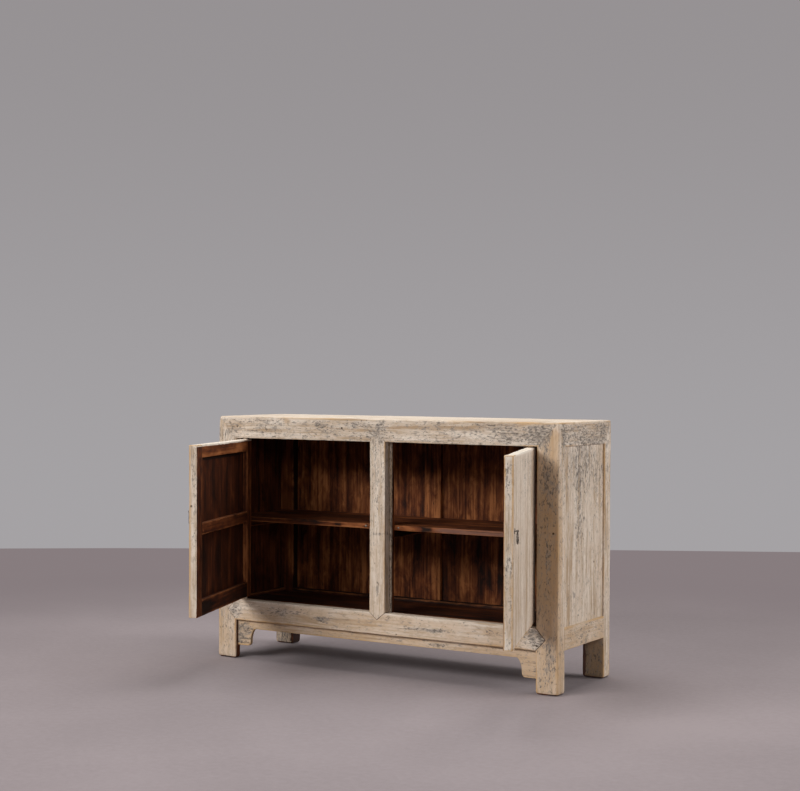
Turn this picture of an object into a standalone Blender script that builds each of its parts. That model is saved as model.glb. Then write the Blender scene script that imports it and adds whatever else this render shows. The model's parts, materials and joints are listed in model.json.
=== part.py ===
"""Low two-door Chinese sideboard: a flush mitred frame with floating panels and doors on wooden pivots.

Metres, +Z up. The carcass is laid out about its own centre on the floor, X along the front and +Y to the
back. Its parent empty then stands the whole sideboard, doors open, with its box centred over the origin.
"""
import math

import bmesh
import bpy
from mathutils import Matrix, Vector

# Carcass
WIDTH = 1.340
DEPTH = 0.400
HEIGHT = 0.860
LEG_WIDTH = 0.076
LEG_DEPTH = 0.050
FOOT_WEB = 0.027
FOOT_CUT = 0.034
TOP_RAIL_HEIGHT = 0.077
LOWER_RAIL_BASE = 0.138
LOWER_RAIL_HEIGHT = 0.072
SIDE_RAIL_THICKNESS = 0.040
STILE_WIDTH = 0.060
STILE_DEPTH = 0.030
STOP_LIP = 0.006
BACK_POST_WIDTH = 0.066
BACK_POST_DEPTH = 0.034

# Apron under the front rail
APRON_THICKNESS = 0.012
APRON_SET_BACK = 0.014
APRON_BASE = 0.108
SPANDREL_BASE = 0.047
SPANDREL_FOOT = 0.044
SPANDREL_WIDTH = 0.078
SPANDREL_NOSE = 0.012

# Panels and what carries them
TOP_THICKNESS = 0.018
PANEL_THICKNESS = 0.014
PANEL_RECESS = 0.006
FLOOR_THICKNESS = 0.016
FLOOR_HEIGHT = 0.200
SHELF_THICKNESS = 0.017
SHELF_HEIGHT = 0.502
BEARER_WIDTH = 0.040
BEARER_HEIGHT = 0.028
CLEAT_THICKNESS = 0.022
BATTEN_SPACING = 0.330

# Joinery
FIT = 0.0003
SHOULDER_DEPTH = 0.015
TENON_SET = 0.002
RAIL_POINT = 0.034
STILE_POINT = 0.025
TENON_LENGTH = 0.028
STUB_LENGTH = 0.014
TENON_THICKNESS = 0.012
TENON_SHOULDER = 0.014
STUB_SHOULDER = 0.007
TONGUE_DEPTH = 0.007
TONGUE_THICKNESS = 0.006

# Doors
DOOR_THICKNESS = 0.028
DOOR_SET_BACK = 0.001
DOOR_SIDE_GAP = 0.003
DOOR_TOP_GAP = 0.004
DOOR_BOTTOM_GAP = 0.012
DOOR_STILE = 0.046
DOOR_TOP_RAIL = 0.042
DOOR_BOTTOM_RAIL = 0.052
DOOR_BATTEN_HEIGHT = 0.505
DOOR_BATTEN_WIDTH = 0.038
DOOR_PANEL_THICKNESS = 0.012
DOOR_STOP_GAP = 0.0005
PIVOT_INSET = 0.030
PIVOT_RADIUS = 0.008
PIVOT_LENGTH = 0.014
HINGE_EDGE_ROUND = 0.006
LEFT_DOOR_ANGLE = math.radians(71.25)
RIGHT_DOOR_ANGLE = math.radians(110.0)

# Ring pulls
PULL_INSET = 0.028
PULL_HEIGHT = 0.562
PULL_STAND_OFF = 0.009
PULL_PLATE_RADIUS = 0.008
PULL_PLATE_THICKNESS = 0.0015
EYE_RADIUS = 0.0031
EYE_WIRE = 0.0011
SHANK_RADIUS = 0.0014
DROP_LENGTH = 0.036
DROP_WIDTH = 0.013
DROP_WIRE = 0.0013
DROP_SWELL = 0.0009

ROUND_SEGMENTS = 24
ARC_STEPS = 6
CUT_MARGIN = 0.010

# Finishes: colour, roughness, metallic
BLEACHED_WOOD = ((0.56, 0.48, 0.37), 0.75, 0.0)
BROWN_WOOD = ((0.10, 0.040, 0.018), 0.55, 0.0)
DARK_IRON = ((0.045, 0.038, 0.032), 0.50, 0.9)

# Faces and levels that pieces share
SIDE_X = WIDTH / 2
FRONT_Y = -DEPTH / 2
REAR_Y = DEPTH / 2
OPENING_X = SIDE_X - LEG_WIDTH
FRONT_INNER_Y = FRONT_Y + LEG_DEPTH
REAR_INNER_Y = REAR_Y - LEG_DEPTH
RAIL_Z = HEIGHT - TOP_RAIL_HEIGHT
SILL_Z = LOWER_RAIL_BASE + LOWER_RAIL_HEIGHT
DOOR_BASE = SILL_Z + DOOR_BOTTOM_GAP
DOOR_TOP = RAIL_Z - DOOR_TOP_GAP
DOOR_WIDTH = OPENING_X - STILE_WIDTH / 2 - 2 * DOOR_SIDE_GAP
PIVOT_X = OPENING_X - PIVOT_INSET
PIVOT_Y = FRONT_Y + DOOR_SET_BACK + DOOR_THICKNESS / 2
HINGE_EDGE = DOOR_SIDE_GAP - PIVOT_INSET
FREE_EDGE = HINGE_EDGE + DOOR_WIDTH
DOOR_INNER_Y = FRONT_Y + DOOR_SET_BACK + DOOR_THICKNESS
PANEL_INNER_X = SIDE_X - PANEL_RECESS - PANEL_THICKNESS
PANEL_INNER_Y = REAR_Y - PANEL_RECESS - PANEL_THICKNESS
POST_FRONT_Y = REAR_Y - BACK_POST_DEPTH


def block(low, high):
    """A box between two opposite corners, in any order of signs."""
    shape = bmesh.new()
    low, high = Vector(low), Vector(high)
    size = [abs(b - a) for a, b in zip(low, high)]
    place = Matrix.Translation((low + high) / 2) @ Matrix.Diagonal((*size, 1.0))
    bmesh.ops.create_cube(shape, size=1.0, matrix=place)
    return shape


def grown(box, by=FIT):
    """The box with every face moved out, for the socket that the box fits."""
    low = [min(a, b) - by for a, b in zip(*box)]
    high = [max(a, b) + by for a, b in zip(*box)]
    return low, high


def prism(outline, axis, start, end):
    """A flat outline carried straight along one axis; its two coordinates are the other two axes."""
    shape = bmesh.new()

    def point(pair, along):
        values = list(pair)
        values.insert(axis, along)
        return values

    face = shape.faces.new([shape.verts.new(point(pair, start)) for pair in outline])
    swept = bmesh.ops.extrude_face_region(shape, geom=[face])
    moved = [item for item in swept["geom"] if isinstance(item, bmesh.types.BMVert)]
    bmesh.ops.translate(shape, verts=moved, vec=point((0.0, 0.0), end - start))
    bmesh.ops.recalc_face_normals(shape, faces=shape.faces)
    return shape


def hull(points):
    """The convex solid that holds the points."""
    shape = bmesh.new()
    for point in points:
        shape.verts.new(point)
    made = bmesh.ops.convex_hull(shape, input=shape.verts)
    spare = [item for item in made["geom_interior"] if isinstance(item, bmesh.types.BMVert)]
    bmesh.ops.delete(shape, geom=spare, context="VERTS")
    bmesh.ops.recalc_face_normals(shape, faces=shape.faces)
    return shape


def pointed_bar(corners, tips, front, shoulder, back):
    """A bar seen from the front as corners with a point on each tip, the points only as deep as the shoulder.

    corners runs round the square bar and tips holds, for a corner's index, the point that follows it.
    """
    shape = bmesh.new()
    outline = []
    for index, corner in enumerate(corners):
        outline.append((corner, True))
        if index in tips:
            outline.append((tips[index], False))

    def ring(pairs, y):
        return [shape.verts.new((x, y, z)) for x, z in pairs]

    near = ring([pair for pair, square in outline], front)
    step = ring([pair for pair, square in outline], shoulder)
    far = ring(corners, back)
    kept = [vert for vert, (pair, square) in zip(step, outline) if square]
    shape.faces.new(near)
    shape.faces.new(far)
    for upper, lower in ((near, step), (kept, far)):
        for index in range(len(upper)):
            after = (index + 1) % len(upper)
            shape.faces.new((upper[index], upper[after], lower[after], lower[index]))
    for index, (pair, square) in enumerate(outline):
        if not square:
            shape.faces.new((step[index - 1], step[index], step[(index + 1) % len(outline)]))
    bmesh.ops.recalc_face_normals(shape, faces=shape.faces)
    return shape


def cylinder(centre, axis, radius, start, end):
    """A round bar along one axis; centre gives the other two coordinates."""
    turn = [2 * math.pi * step / ROUND_SEGMENTS for step in range(ROUND_SEGMENTS)]
    outline = [(centre[0] + radius * math.cos(a), centre[1] + radius * math.sin(a)) for a in turn]
    return prism(outline, axis, start, end)


def wire_ring(radius, wire):
    """A round wire bent into a ring about the X axis."""
    shape = bmesh.new()
    upright = Matrix.Translation((0.0, 0.0, radius)) @ Matrix.Rotation(math.pi / 2, 4, "X")
    made = bmesh.ops.create_circle(shape, segments=ROUND_SEGMENTS // 2, radius=wire, matrix=upright)
    edges = list({edge for vert in made["verts"] for edge in vert.link_edges})
    bmesh.ops.spin(shape, geom=made["verts"] + edges, cent=(0.0, 0.0, 0.0), axis=(1.0, 0.0, 0.0),
                   angle=2 * math.pi, steps=ROUND_SEGMENTS, use_merge=True)
    bmesh.ops.remove_doubles(shape, verts=shape.verts, dist=0.00001)
    bmesh.ops.recalc_face_normals(shape, faces=shape.faces)
    return shape


def loose_object(name, shape):
    mesh = bpy.data.meshes.new(name)
    shape.to_mesh(mesh)
    shape.free()
    item = bpy.data.objects.new(name, mesh)
    bpy.context.scene.collection.objects.link(item)
    return item


def finish_material(name, finish):
    colour, roughness, metallic = finish
    material = bpy.data.materials.new(name)
    material.use_nodes = True
    surface = material.node_tree.nodes["Principled BSDF"]
    surface.inputs["Base Color"].default_value = (*colour, 1.0)
    surface.inputs["Roughness"].default_value = roughness
    surface.inputs["Metallic"].default_value = metallic
    return material


def piece(name, finish, parent, shape, joined=(), cuts=()):
    """One sub-part: a shape, the shapes joined to it, and the sockets and grooves cut from it."""
    item = loose_object(name, shape)
    helpers = []
    for operation, shapes in (("UNION", joined), ("DIFFERENCE", cuts)):
        for other in shapes:
            helper = loose_object(name + "_tool", other)
            helpers.append(helper)
            modifier = item.modifiers.new(operation.lower(), "BOOLEAN")
            modifier.operation = operation
            modifier.solver = "EXACT"
            modifier.object = helper
    if helpers:
        graph = bpy.context.evaluated_depsgraph_get()
        worked = bpy.data.meshes.new_from_object(item.evaluated_get(graph))
        item.modifiers.clear()
        item.data = worked
    for helper in helpers:
        bpy.data.objects.remove(helper)
    item.data.materials.clear()
    item.data.materials.append(finish_material(name, finish))
    item.parent = parent
    return item


def empty(name, location, turn, parent):
    item = bpy.data.objects.new(name, None)
    bpy.context.scene.collection.objects.link(item)
    item.location = location
    item.rotation_euler = (0.0, 0.0, turn)
    item.parent = parent
    return item


# Tenons, tongues and points: each is used by the piece that has it and, grown by the fit, by its socket

def rail_tenon(side, end):
    """Tenon of a lower long rail (side -1 front, 1 rear) in the leg at its end (-1 left, 1 right)."""
    y = side * (REAR_Y - SHOULDER_DEPTH - TENON_SET)
    low = (end * (OPENING_X - TENON_LENGTH), y, LOWER_RAIL_BASE + TENON_SHOULDER)
    high = (end * (OPENING_X + TENON_LENGTH), y - side * TENON_THICKNESS, SILL_Z - TENON_SHOULDER)
    return low, high


def side_rail_tenon(side, end):
    """Stub tenon of a lower side rail (side -1 left, 1 right) in the leg at its end (-1 front, 1 rear)."""
    x = side * (SIDE_X - SHOULDER_DEPTH - TENON_SET)
    low = (x, end * (REAR_INNER_Y - STUB_LENGTH), LOWER_RAIL_BASE + TENON_SHOULDER)
    high = (x - side * TENON_THICKNESS, end * (REAR_INNER_Y + STUB_LENGTH), SILL_Z - TENON_SHOULDER)
    return low, high


def cross_tenon(x, end, top):
    """Stub tenon of a batten or bearer at x in the long rail at its end; top is the bearer's upper face."""
    half = BEARER_WIDTH / 2 - STUB_SHOULDER
    low = (x - half, end * (REAR_INNER_Y - STUB_LENGTH), top - BEARER_HEIGHT + STUB_SHOULDER)
    high = (x + half, end * (REAR_INNER_Y + STUB_LENGTH), top - STUB_SHOULDER)
    return low, high


def upright_tenon(width, front, level):
    """Stub tenon at an end of an upright on the middle line; level is the shoulder, front the cheek."""
    half = width / 2 - TENON_SHOULDER
    low = (-half, front, level - STUB_LENGTH)
    high = (half, front + TENON_THICKNESS, level + STUB_LENGTH)
    return low, high


def side_panel_tongue(side):
    middle = SIDE_X - PANEL_RECESS - PANEL_THICKNESS / 2
    low = (side * (middle - TONGUE_THICKNESS / 2), FRONT_INNER_Y - TONGUE_DEPTH, SILL_Z - TONGUE_DEPTH)
    high = (side * (middle + TONGUE_THICKNESS / 2), REAR_INNER_Y + TONGUE_DEPTH, RAIL_Z + TONGUE_DEPTH)
    return low, high


def back_panel_tongue(side):
    middle = REAR_Y - PANEL_RECESS - PANEL_THICKNESS / 2
    near = BACK_POST_WIDTH / 2 - TONGUE_DEPTH
    low = (side * near, middle - TONGUE_THICKNESS / 2, SILL_Z - TONGUE_DEPTH)
    high = (side * (OPENING_X + TONGUE_DEPTH), middle + TONGUE_THICKNESS / 2, RAIL_Z + TONGUE_DEPTH)
    return low, high


def top_panel_tongue():
    middle = HEIGHT - TOP_THICKNESS / 2
    low = (-OPENING_X - TONGUE_DEPTH, FRONT_INNER_Y - TONGUE_DEPTH, middle - TONGUE_THICKNESS / 2)
    high = (OPENING_X + TONGUE_DEPTH, REAR_INNER_Y + TONGUE_DEPTH, middle + TONGUE_THICKNESS / 2)
    return low, high


def floor_tongue(reach_x, reach_y):
    middle = FLOOR_HEIGHT - FLOOR_THICKNESS / 2
    low = (-reach_x, -reach_y, middle - TONGUE_THICKNESS / 2)
    high = (reach_x, reach_y, middle + TONGUE_THICKNESS / 2)
    return low, high


FLOOR_EDGE_X = SIDE_X - SIDE_RAIL_THICKNESS
FLOOR_TONGUE_LONG = floor_tongue(OPENING_X - FIT, REAR_INNER_Y + TONGUE_DEPTH)
FLOOR_TONGUE_CROSS = floor_tongue(FLOOR_EDGE_X + TONGUE_DEPTH, REAR_INNER_Y - FIT)
BATTEN_PLACES = (-BATTEN_SPACING, 0.0, BATTEN_SPACING)
BATTEN_TOP = HEIGHT - TOP_THICKNESS - FIT
FLOOR_BEARER_TOP = FLOOR_HEIGHT - FLOOR_THICKNESS - FIT
SHELF_BEARER_TOP = SHELF_HEIGHT - SHELF_THICKNESS - FIT
STILE_CHEEK = FRONT_Y + SHOULDER_DEPTH + TENON_SET
POST_CHEEK = POST_FRONT_Y + (BACK_POST_DEPTH - TENON_THICKNESS) / 2 - TONGUE_DEPTH


def rail_point_socket(end):
    """The notch in a front leg for the mitred point of the front lower rail."""
    middle = LOWER_RAIL_BASE + LOWER_RAIL_HEIGHT / 2
    slope = RAIL_POINT / (LOWER_RAIL_HEIGHT / 2)
    tip = OPENING_X + RAIL_POINT + 2 * FIT
    mouth = OPENING_X - CUT_MARGIN
    rise = (tip - mouth) / slope
    outline = [(end * mouth, middle - rise), (end * tip, middle), (end * mouth, middle + rise)]
    return prism(outline, 1, FRONT_Y - CUT_MARGIN, FRONT_Y + SHOULDER_DEPTH + FIT)


def foot_relief(end):
    """The part cut away behind a front leg's foot, which leaves an angle-shaped end under the apron."""
    return block((end * (OPENING_X - CUT_MARGIN), FRONT_Y + FOOT_WEB, -CUT_MARGIN),
                 (end * (OPENING_X + FOOT_CUT), FRONT_INNER_Y + CUT_MARGIN, LOWER_RAIL_BASE))


def stile_point_socket(level, up):
    """The notch in a front rail for a mitred point of the centre stile."""
    slope = STILE_POINT / (STILE_WIDTH / 2)
    tip = level + up * (STILE_POINT + 2 * FIT)
    mouth = level - up * CUT_MARGIN
    spread = abs(tip - mouth) / slope
    outline = [(-spread, mouth), (0.0, tip), (spread, mouth)]
    return prism(outline, 1, FRONT_Y - CUT_MARGIN, FRONT_Y + SHOULDER_DEPTH + FIT)


def pivot_socket(side, level, up):
    """The round socket in a front rail for a door's pivot pin."""
    radius = PIVOT_RADIUS / math.cos(math.pi / ROUND_SEGMENTS) + FIT
    depth = level + up * (PIVOT_LENGTH + FIT)
    return cylinder((side * PIVOT_X, PIVOT_Y), 2, radius, level - up * CUT_MARGIN, depth)


def make_legs(root):
    for end, hand in ((-1, "left"), (1, "right")):
        for side, place in ((-1, "front"), (1, "rear")):
            x, inner_x = end * SIDE_X, end * OPENING_X
            y, inner_y = side * REAR_Y, side * REAR_INNER_Y
            shoulder = RAIL_Z - FIT
            points = [(a, b, 0.0) for a in (x, inner_x) for b in (y, inner_y)]
            points += [(inner_x, y, shoulder), (inner_x, inner_y, shoulder), (x, inner_y, shoulder)]
            points.append((x, y, HEIGHT - FIT))
            cuts = [block(*grown(rail_tenon(side, end))), block(*grown(side_rail_tenon(end, side))),
                    block(*grown(side_panel_tongue(end)))]
            if place == "front":
                cuts += [rail_point_socket(end), foot_relief(end)]
            else:
                cuts.append(block(*grown(back_panel_tongue(end))))
            piece(f"leg_{place}_{hand}", BLEACHED_WOOD, root, hull(points), cuts=cuts)


def make_top_frame(root):
    for side, place in ((-1, "front"), (1, "rear")):
        outer, inner = side * REAR_Y, side * REAR_INNER_Y
        points = [(end * (OPENING_X - FIT), y, z) for end in (-1, 1) for y in (outer, inner)
                  for z in (RAIL_Z, HEIGHT)]
        points += [(end * (SIDE_X - FIT), outer, HEIGHT) for end in (-1, 1)]
        cuts = [block(*grown(top_panel_tongue()))]
        cuts += [block(*grown(cross_tenon(x, side, BATTEN_TOP))) for x in BATTEN_PLACES]
        if place == "front":
            cuts.append(stile_point_socket(RAIL_Z, 1))
            cuts.append(block(*grown(upright_tenon(STILE_WIDTH, STILE_CHEEK, RAIL_Z))))
            cuts += [pivot_socket(hand, RAIL_Z, 1) for hand in (-1, 1)]
        else:
            cuts += [block(*grown(back_panel_tongue(hand))) for hand in (-1, 1)]
            cuts.append(block(*grown(upright_tenon(BACK_POST_WIDTH, POST_CHEEK, RAIL_Z))))
        piece(f"top_rail_{place}", BLEACHED_WOOD, root, hull(points), cuts=cuts)
    for end, hand in ((-1, "left"), (1, "right")):
        outer, inner = end * SIDE_X, end * OPENING_X
        points = [(x, side * (REAR_INNER_Y - FIT), z) for side in (-1, 1) for x in (outer, inner)
                  for z in (RAIL_Z, HEIGHT)]
        points += [(outer, side * (REAR_Y - FIT), HEIGHT) for side in (-1, 1)]
        cuts = [block(*grown(top_panel_tongue())), block(*grown(side_panel_tongue(end)))]
        piece(f"top_rail_{hand}", BLEACHED_WOOD, root, hull(points), cuts=cuts)


def make_lower_rails(root):
    front_x = OPENING_X - FIT
    middle = LOWER_RAIL_BASE + LOWER_RAIL_HEIGHT / 2
    corners = [(-front_x, LOWER_RAIL_BASE), (front_x, LOWER_RAIL_BASE), (front_x, SILL_Z), (-front_x, SILL_Z)]
    tips = {1: (OPENING_X + RAIL_POINT - FIT, middle), 3: (-OPENING_X - RAIL_POINT + FIT, middle)}
    bar = pointed_bar(corners, tips, FRONT_Y, FRONT_Y + SHOULDER_DEPTH, FRONT_INNER_Y)
    cuts = [stile_point_socket(SILL_Z, -1),
            block(*grown(upright_tenon(STILE_WIDTH, STILE_CHEEK, SILL_Z))),
            block(*grown(FLOOR_TONGUE_LONG))]
    cuts += [pivot_socket(hand, SILL_Z, -1) for hand in (-1, 1)]
    cuts += [block(*grown(cross_tenon(x, -1, FLOOR_BEARER_TOP))) for x in BATTEN_PLACES]
    tenons = [block(*rail_tenon(-1, end)) for end in (-1, 1)]
    piece("lower_rail_front", BLEACHED_WOOD, root, bar, joined=tenons, cuts=cuts)

    bar = block((-front_x, REAR_INNER_Y, LOWER_RAIL_BASE), (front_x, REAR_Y, SILL_Z))
    cuts = [block(*grown(FLOOR_TONGUE_LONG)),
            block(*grown(upright_tenon(BACK_POST_WIDTH, POST_CHEEK, SILL_Z)))]
    cuts += [block(*grown(back_panel_tongue(hand))) for hand in (-1, 1)]
    cuts += [block(*grown(cross_tenon(x, 1, FLOOR_BEARER_TOP))) for x in BATTEN_PLACES]
    tenons = [block(*rail_tenon(1, end)) for end in (-1, 1)]
    piece("lower_rail_rear", BLEACHED_WOOD, root, bar, joined=tenons, cuts=cuts)

    for end, hand in ((-1, "left"), (1, "right")):
        bar = block((end * SIDE_X, -REAR_INNER_Y + FIT, LOWER_RAIL_BASE),
                    (end * FLOOR_EDGE_X, REAR_INNER_Y - FIT, SILL_Z))
        cuts = [block(*grown(side_panel_tongue(end))), block(*grown(FLOOR_TONGUE_CROSS))]
        tenons = [block(*side_rail_tenon(end, side)) for side in (-1, 1)]
        piece(f"lower_rail_{hand}", BLEACHED_WOOD, root, bar, joined=tenons, cuts=cuts)


def make_centre_stile(root):
    half = STILE_WIDTH / 2
    low, high = SILL_Z + FIT, RAIL_Z - FIT
    corners = [(-half, low), (half, low), (half, high), (-half, high)]
    tips = {0: (0.0, low - STILE_POINT), 2: (0.0, high + STILE_POINT)}
    bar = pointed_bar(corners, tips, FRONT_Y, FRONT_Y + SHOULDER_DEPTH, FRONT_Y + STILE_DEPTH)
    tenons = [block(*upright_tenon(STILE_WIDTH, STILE_CHEEK, SILL_Z)),
              block(*upright_tenon(STILE_WIDTH, STILE_CHEEK, RAIL_Z))]
    piece("centre_stile", BLEACHED_WOOD, root, bar, joined=tenons)
    face = max(FRONT_Y + STILE_DEPTH + FIT, DOOR_INNER_Y + DOOR_STOP_GAP)
    stop = block((-half - STOP_LIP, face, low), (half + STOP_LIP, FRONT_INNER_Y, high))
    piece("door_stop", BROWN_WOOD, root, stop)


def spandrel_curve():
    """Half of the apron's lower edge, from the leg to the straight run: flat foot, round nose, then a cove."""
    edge = OPENING_X - FIT
    foot = edge - SPANDREL_FOOT
    points = [(edge, SPANDREL_BASE)]
    for step in range(ARC_STEPS + 1):
        turn = math.pi / 2 * step / ARC_STEPS
        points.append((foot - SPANDREL_NOSE * math.sin(turn),
                       SPANDREL_BASE + SPANDREL_NOSE * (1.0 - math.cos(turn))))
    start_x, start_z = points[-1]
    end_x = edge - SPANDREL_WIDTH
    for step in range(1, ARC_STEPS + 1):
        turn = math.pi / 2 * step / ARC_STEPS
        points.append((end_x + (start_x - end_x) * math.cos(turn),
                       start_z + (APRON_BASE - start_z) * math.sin(turn)))
    return points


def make_apron(root):
    half = spandrel_curve()
    top = LOWER_RAIL_BASE - FIT
    outline = [(OPENING_X - FIT, top)] + half
    outline += [(-x, z) for x, z in reversed(half)]
    outline.append((-OPENING_X + FIT, top))
    face = FRONT_Y + APRON_SET_BACK
    piece("apron", BLEACHED_WOOD, root, prism(outline, 1, face, face + APRON_THICKNESS))


def split_tongue(tongue, axis, seam, upper):
    """One board's share of a panel's tongue: cut at the seam and drawn a little inside the board there."""
    low, high = [list(corner) for corner in grown(tongue, -FIT)]
    if upper:
        low[axis] = seam + TONGUE_DEPTH
    else:
        high[axis] = seam - TONGUE_DEPTH
    return block(low, high)


def make_panels(root):
    for end, hand in ((-1, "left"), (1, "right")):
        for upper, place, y in ((False, "front", FRONT_INNER_Y + FIT), (True, "rear", REAR_INNER_Y - FIT)):
            seam = FIT / 2 if upper else -FIT / 2
            board = block((end * PANEL_INNER_X, y, SILL_Z + FIT),
                          (end * (SIDE_X - PANEL_RECESS), seam, RAIL_Z - FIT))
            tongue = split_tongue(side_panel_tongue(end), 1, 0.0, upper)
            piece(f"side_board_{hand}_{place}", BLEACHED_WOOD, root, board, joined=[tongue])

        near, far = BACK_POST_WIDTH / 2 + FIT, OPENING_X - FIT
        middle = (near + far) / 2
        for outer, place in ((False, "inner"), (True, "outer")):
            start, stop = (middle + FIT / 2, far) if outer else (near, middle - FIT / 2)
            board = block((end * start, PANEL_INNER_Y, SILL_Z + FIT),
                          (end * stop, REAR_Y - PANEL_RECESS, RAIL_Z - FIT))
            tongue = split_tongue(back_panel_tongue(end), 0, end * middle, outer == (end > 0))
            piece(f"back_board_{hand}_{place}", BROWN_WOOD, root, board, joined=[tongue])

    for upper, place, y in ((False, "front", FRONT_INNER_Y + FIT), (True, "rear", REAR_INNER_Y - FIT)):
        seam = FIT / 2 if upper else -FIT / 2
        board = block((-OPENING_X + FIT, y, HEIGHT - TOP_THICKNESS), (OPENING_X - FIT, seam, HEIGHT))
        tongue = split_tongue(top_panel_tongue(), 1, 0.0, upper)
        piece(f"top_board_{place}", BLEACHED_WOOD, root, board, joined=[tongue])

    post = block((-BACK_POST_WIDTH / 2, POST_FRONT_Y, SILL_Z + FIT), (BACK_POST_WIDTH / 2, REAR_Y, RAIL_Z - FIT))
    tenons = [block(*upright_tenon(BACK_POST_WIDTH, POST_CHEEK, SILL_Z)),
              block(*upright_tenon(BACK_POST_WIDTH, POST_CHEEK, RAIL_Z))]
    grooves = [block(*grown(back_panel_tongue(hand))) for hand in (-1, 1)]
    piece("back_post", BROWN_WOOD, root, post, joined=tenons, cuts=grooves)


def make_floor(root):
    edge_x, edge_y = FLOOR_EDGE_X - FIT, REAR_INNER_Y - FIT
    long_low, long_high = grown(FLOOR_TONGUE_LONG, -FIT)
    cross_low, cross_high = grown(FLOOR_TONGUE_CROSS, -FIT)
    for side, place in ((-1, "front"), (1, "rear")):
        board = block((-edge_x, side * edge_y, FLOOR_HEIGHT - FLOOR_THICKNESS),
                      (edge_x, side * FIT / 2, FLOOR_HEIGHT))
        outline = [(cross_low[0], side * TONGUE_DEPTH), (cross_high[0], side * TONGUE_DEPTH),
                   (cross_high[0], side * (cross_high[1] - FIT)), (long_high[0], side * (cross_high[1] - FIT)),
                   (long_high[0], side * long_high[1]), (long_low[0], side * long_high[1]),
                   (long_low[0], side * (cross_high[1] - FIT)), (cross_low[0], side * (cross_high[1] - FIT))]
        tongue = prism(outline, 2, long_low[2], long_high[2])
        piece(f"floor_board_{place}", BROWN_WOOD, root, board, joined=[tongue])


def make_bearers(root):
    """Cross bearers under the top and floor, tenoned into the long rails, and the cleats under the shelf."""
    for x, place in zip(BATTEN_PLACES, ("left", "centre", "right")):
        for name, top in (("top_batten", BATTEN_TOP), ("floor_bearer", FLOOR_BEARER_TOP)):
            reach = REAR_INNER_Y - FIT
            bar = block((x - BEARER_WIDTH / 2, -reach, top - BEARER_HEIGHT), (x + BEARER_WIDTH / 2, reach, top))
            tenons = [block(*cross_tenon(x, end, top)) for end in (-1, 1)]
            piece(f"{name}_{place}", BROWN_WOOD, root, bar, joined=tenons)
    for end, hand in ((-1, "left"), (1, "right")):
        face = PANEL_INNER_X - FIT
        cleat = block((end * face, FRONT_INNER_Y + FIT, SHELF_BEARER_TOP - BEARER_HEIGHT),
                      (end * (face - CLEAT_THICKNESS), REAR_INNER_Y - FIT, SHELF_BEARER_TOP))
        piece(f"shelf_bearer_{hand}", BROWN_WOOD, root, cleat)
    bar = block((-BEARER_WIDTH / 2, FRONT_INNER_Y + FIT, SHELF_BEARER_TOP - BEARER_HEIGHT),
                (BEARER_WIDTH / 2, POST_FRONT_Y - FIT, SHELF_BEARER_TOP))
    piece("shelf_bearer_centre", BROWN_WOOD, root, bar)


def make_shelf(root):
    edge = PANEL_INNER_X - FIT
    base = SHELF_HEIGHT - SHELF_THICKNESS
    board = block((-edge, FRONT_INNER_Y + FIT, base), (edge, -FIT / 2, SHELF_HEIGHT))
    piece("shelf_board_front", BROWN_WOOD, root, board)
    leg_x, leg_y = OPENING_X - FIT, REAR_INNER_Y - FIT
    post_x, post_y = BACK_POST_WIDTH / 2 + FIT, POST_FRONT_Y - FIT
    back = PANEL_INNER_Y - FIT
    half = [(edge, FIT / 2), (edge, leg_y), (leg_x, leg_y), (leg_x, back), (post_x, back), (post_x, post_y)]
    outline = half + [(-x, y) for x, y in reversed(half)]
    piece("shelf_board_rear", BROWN_WOOD, root, prism(outline, 2, base, SHELF_HEIGHT))


def hinge_stile_outline(hand):
    """Plan of the hinge stile: its outer edge is rounded so that it turns clear of the leg."""
    face, edge, inner = DOOR_THICKNESS / 2, HINGE_EDGE, HINGE_EDGE + DOOR_STILE
    points = [(inner, -face)]
    for centre_y, first in ((HINGE_EDGE_ROUND - face, 1.5), (face - HINGE_EDGE_ROUND, 1.0)):
        for step in range(ARC_STEPS + 1):
            turn = math.pi * (first - 0.5 * step / ARC_STEPS)
            points.append((edge + HINGE_EDGE_ROUND + HINGE_EDGE_ROUND * math.cos(turn),
                           centre_y + HINGE_EDGE_ROUND * math.sin(turn)))
    points.append((inner, face))
    return [(hand * x, y) for x, y in points]


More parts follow.
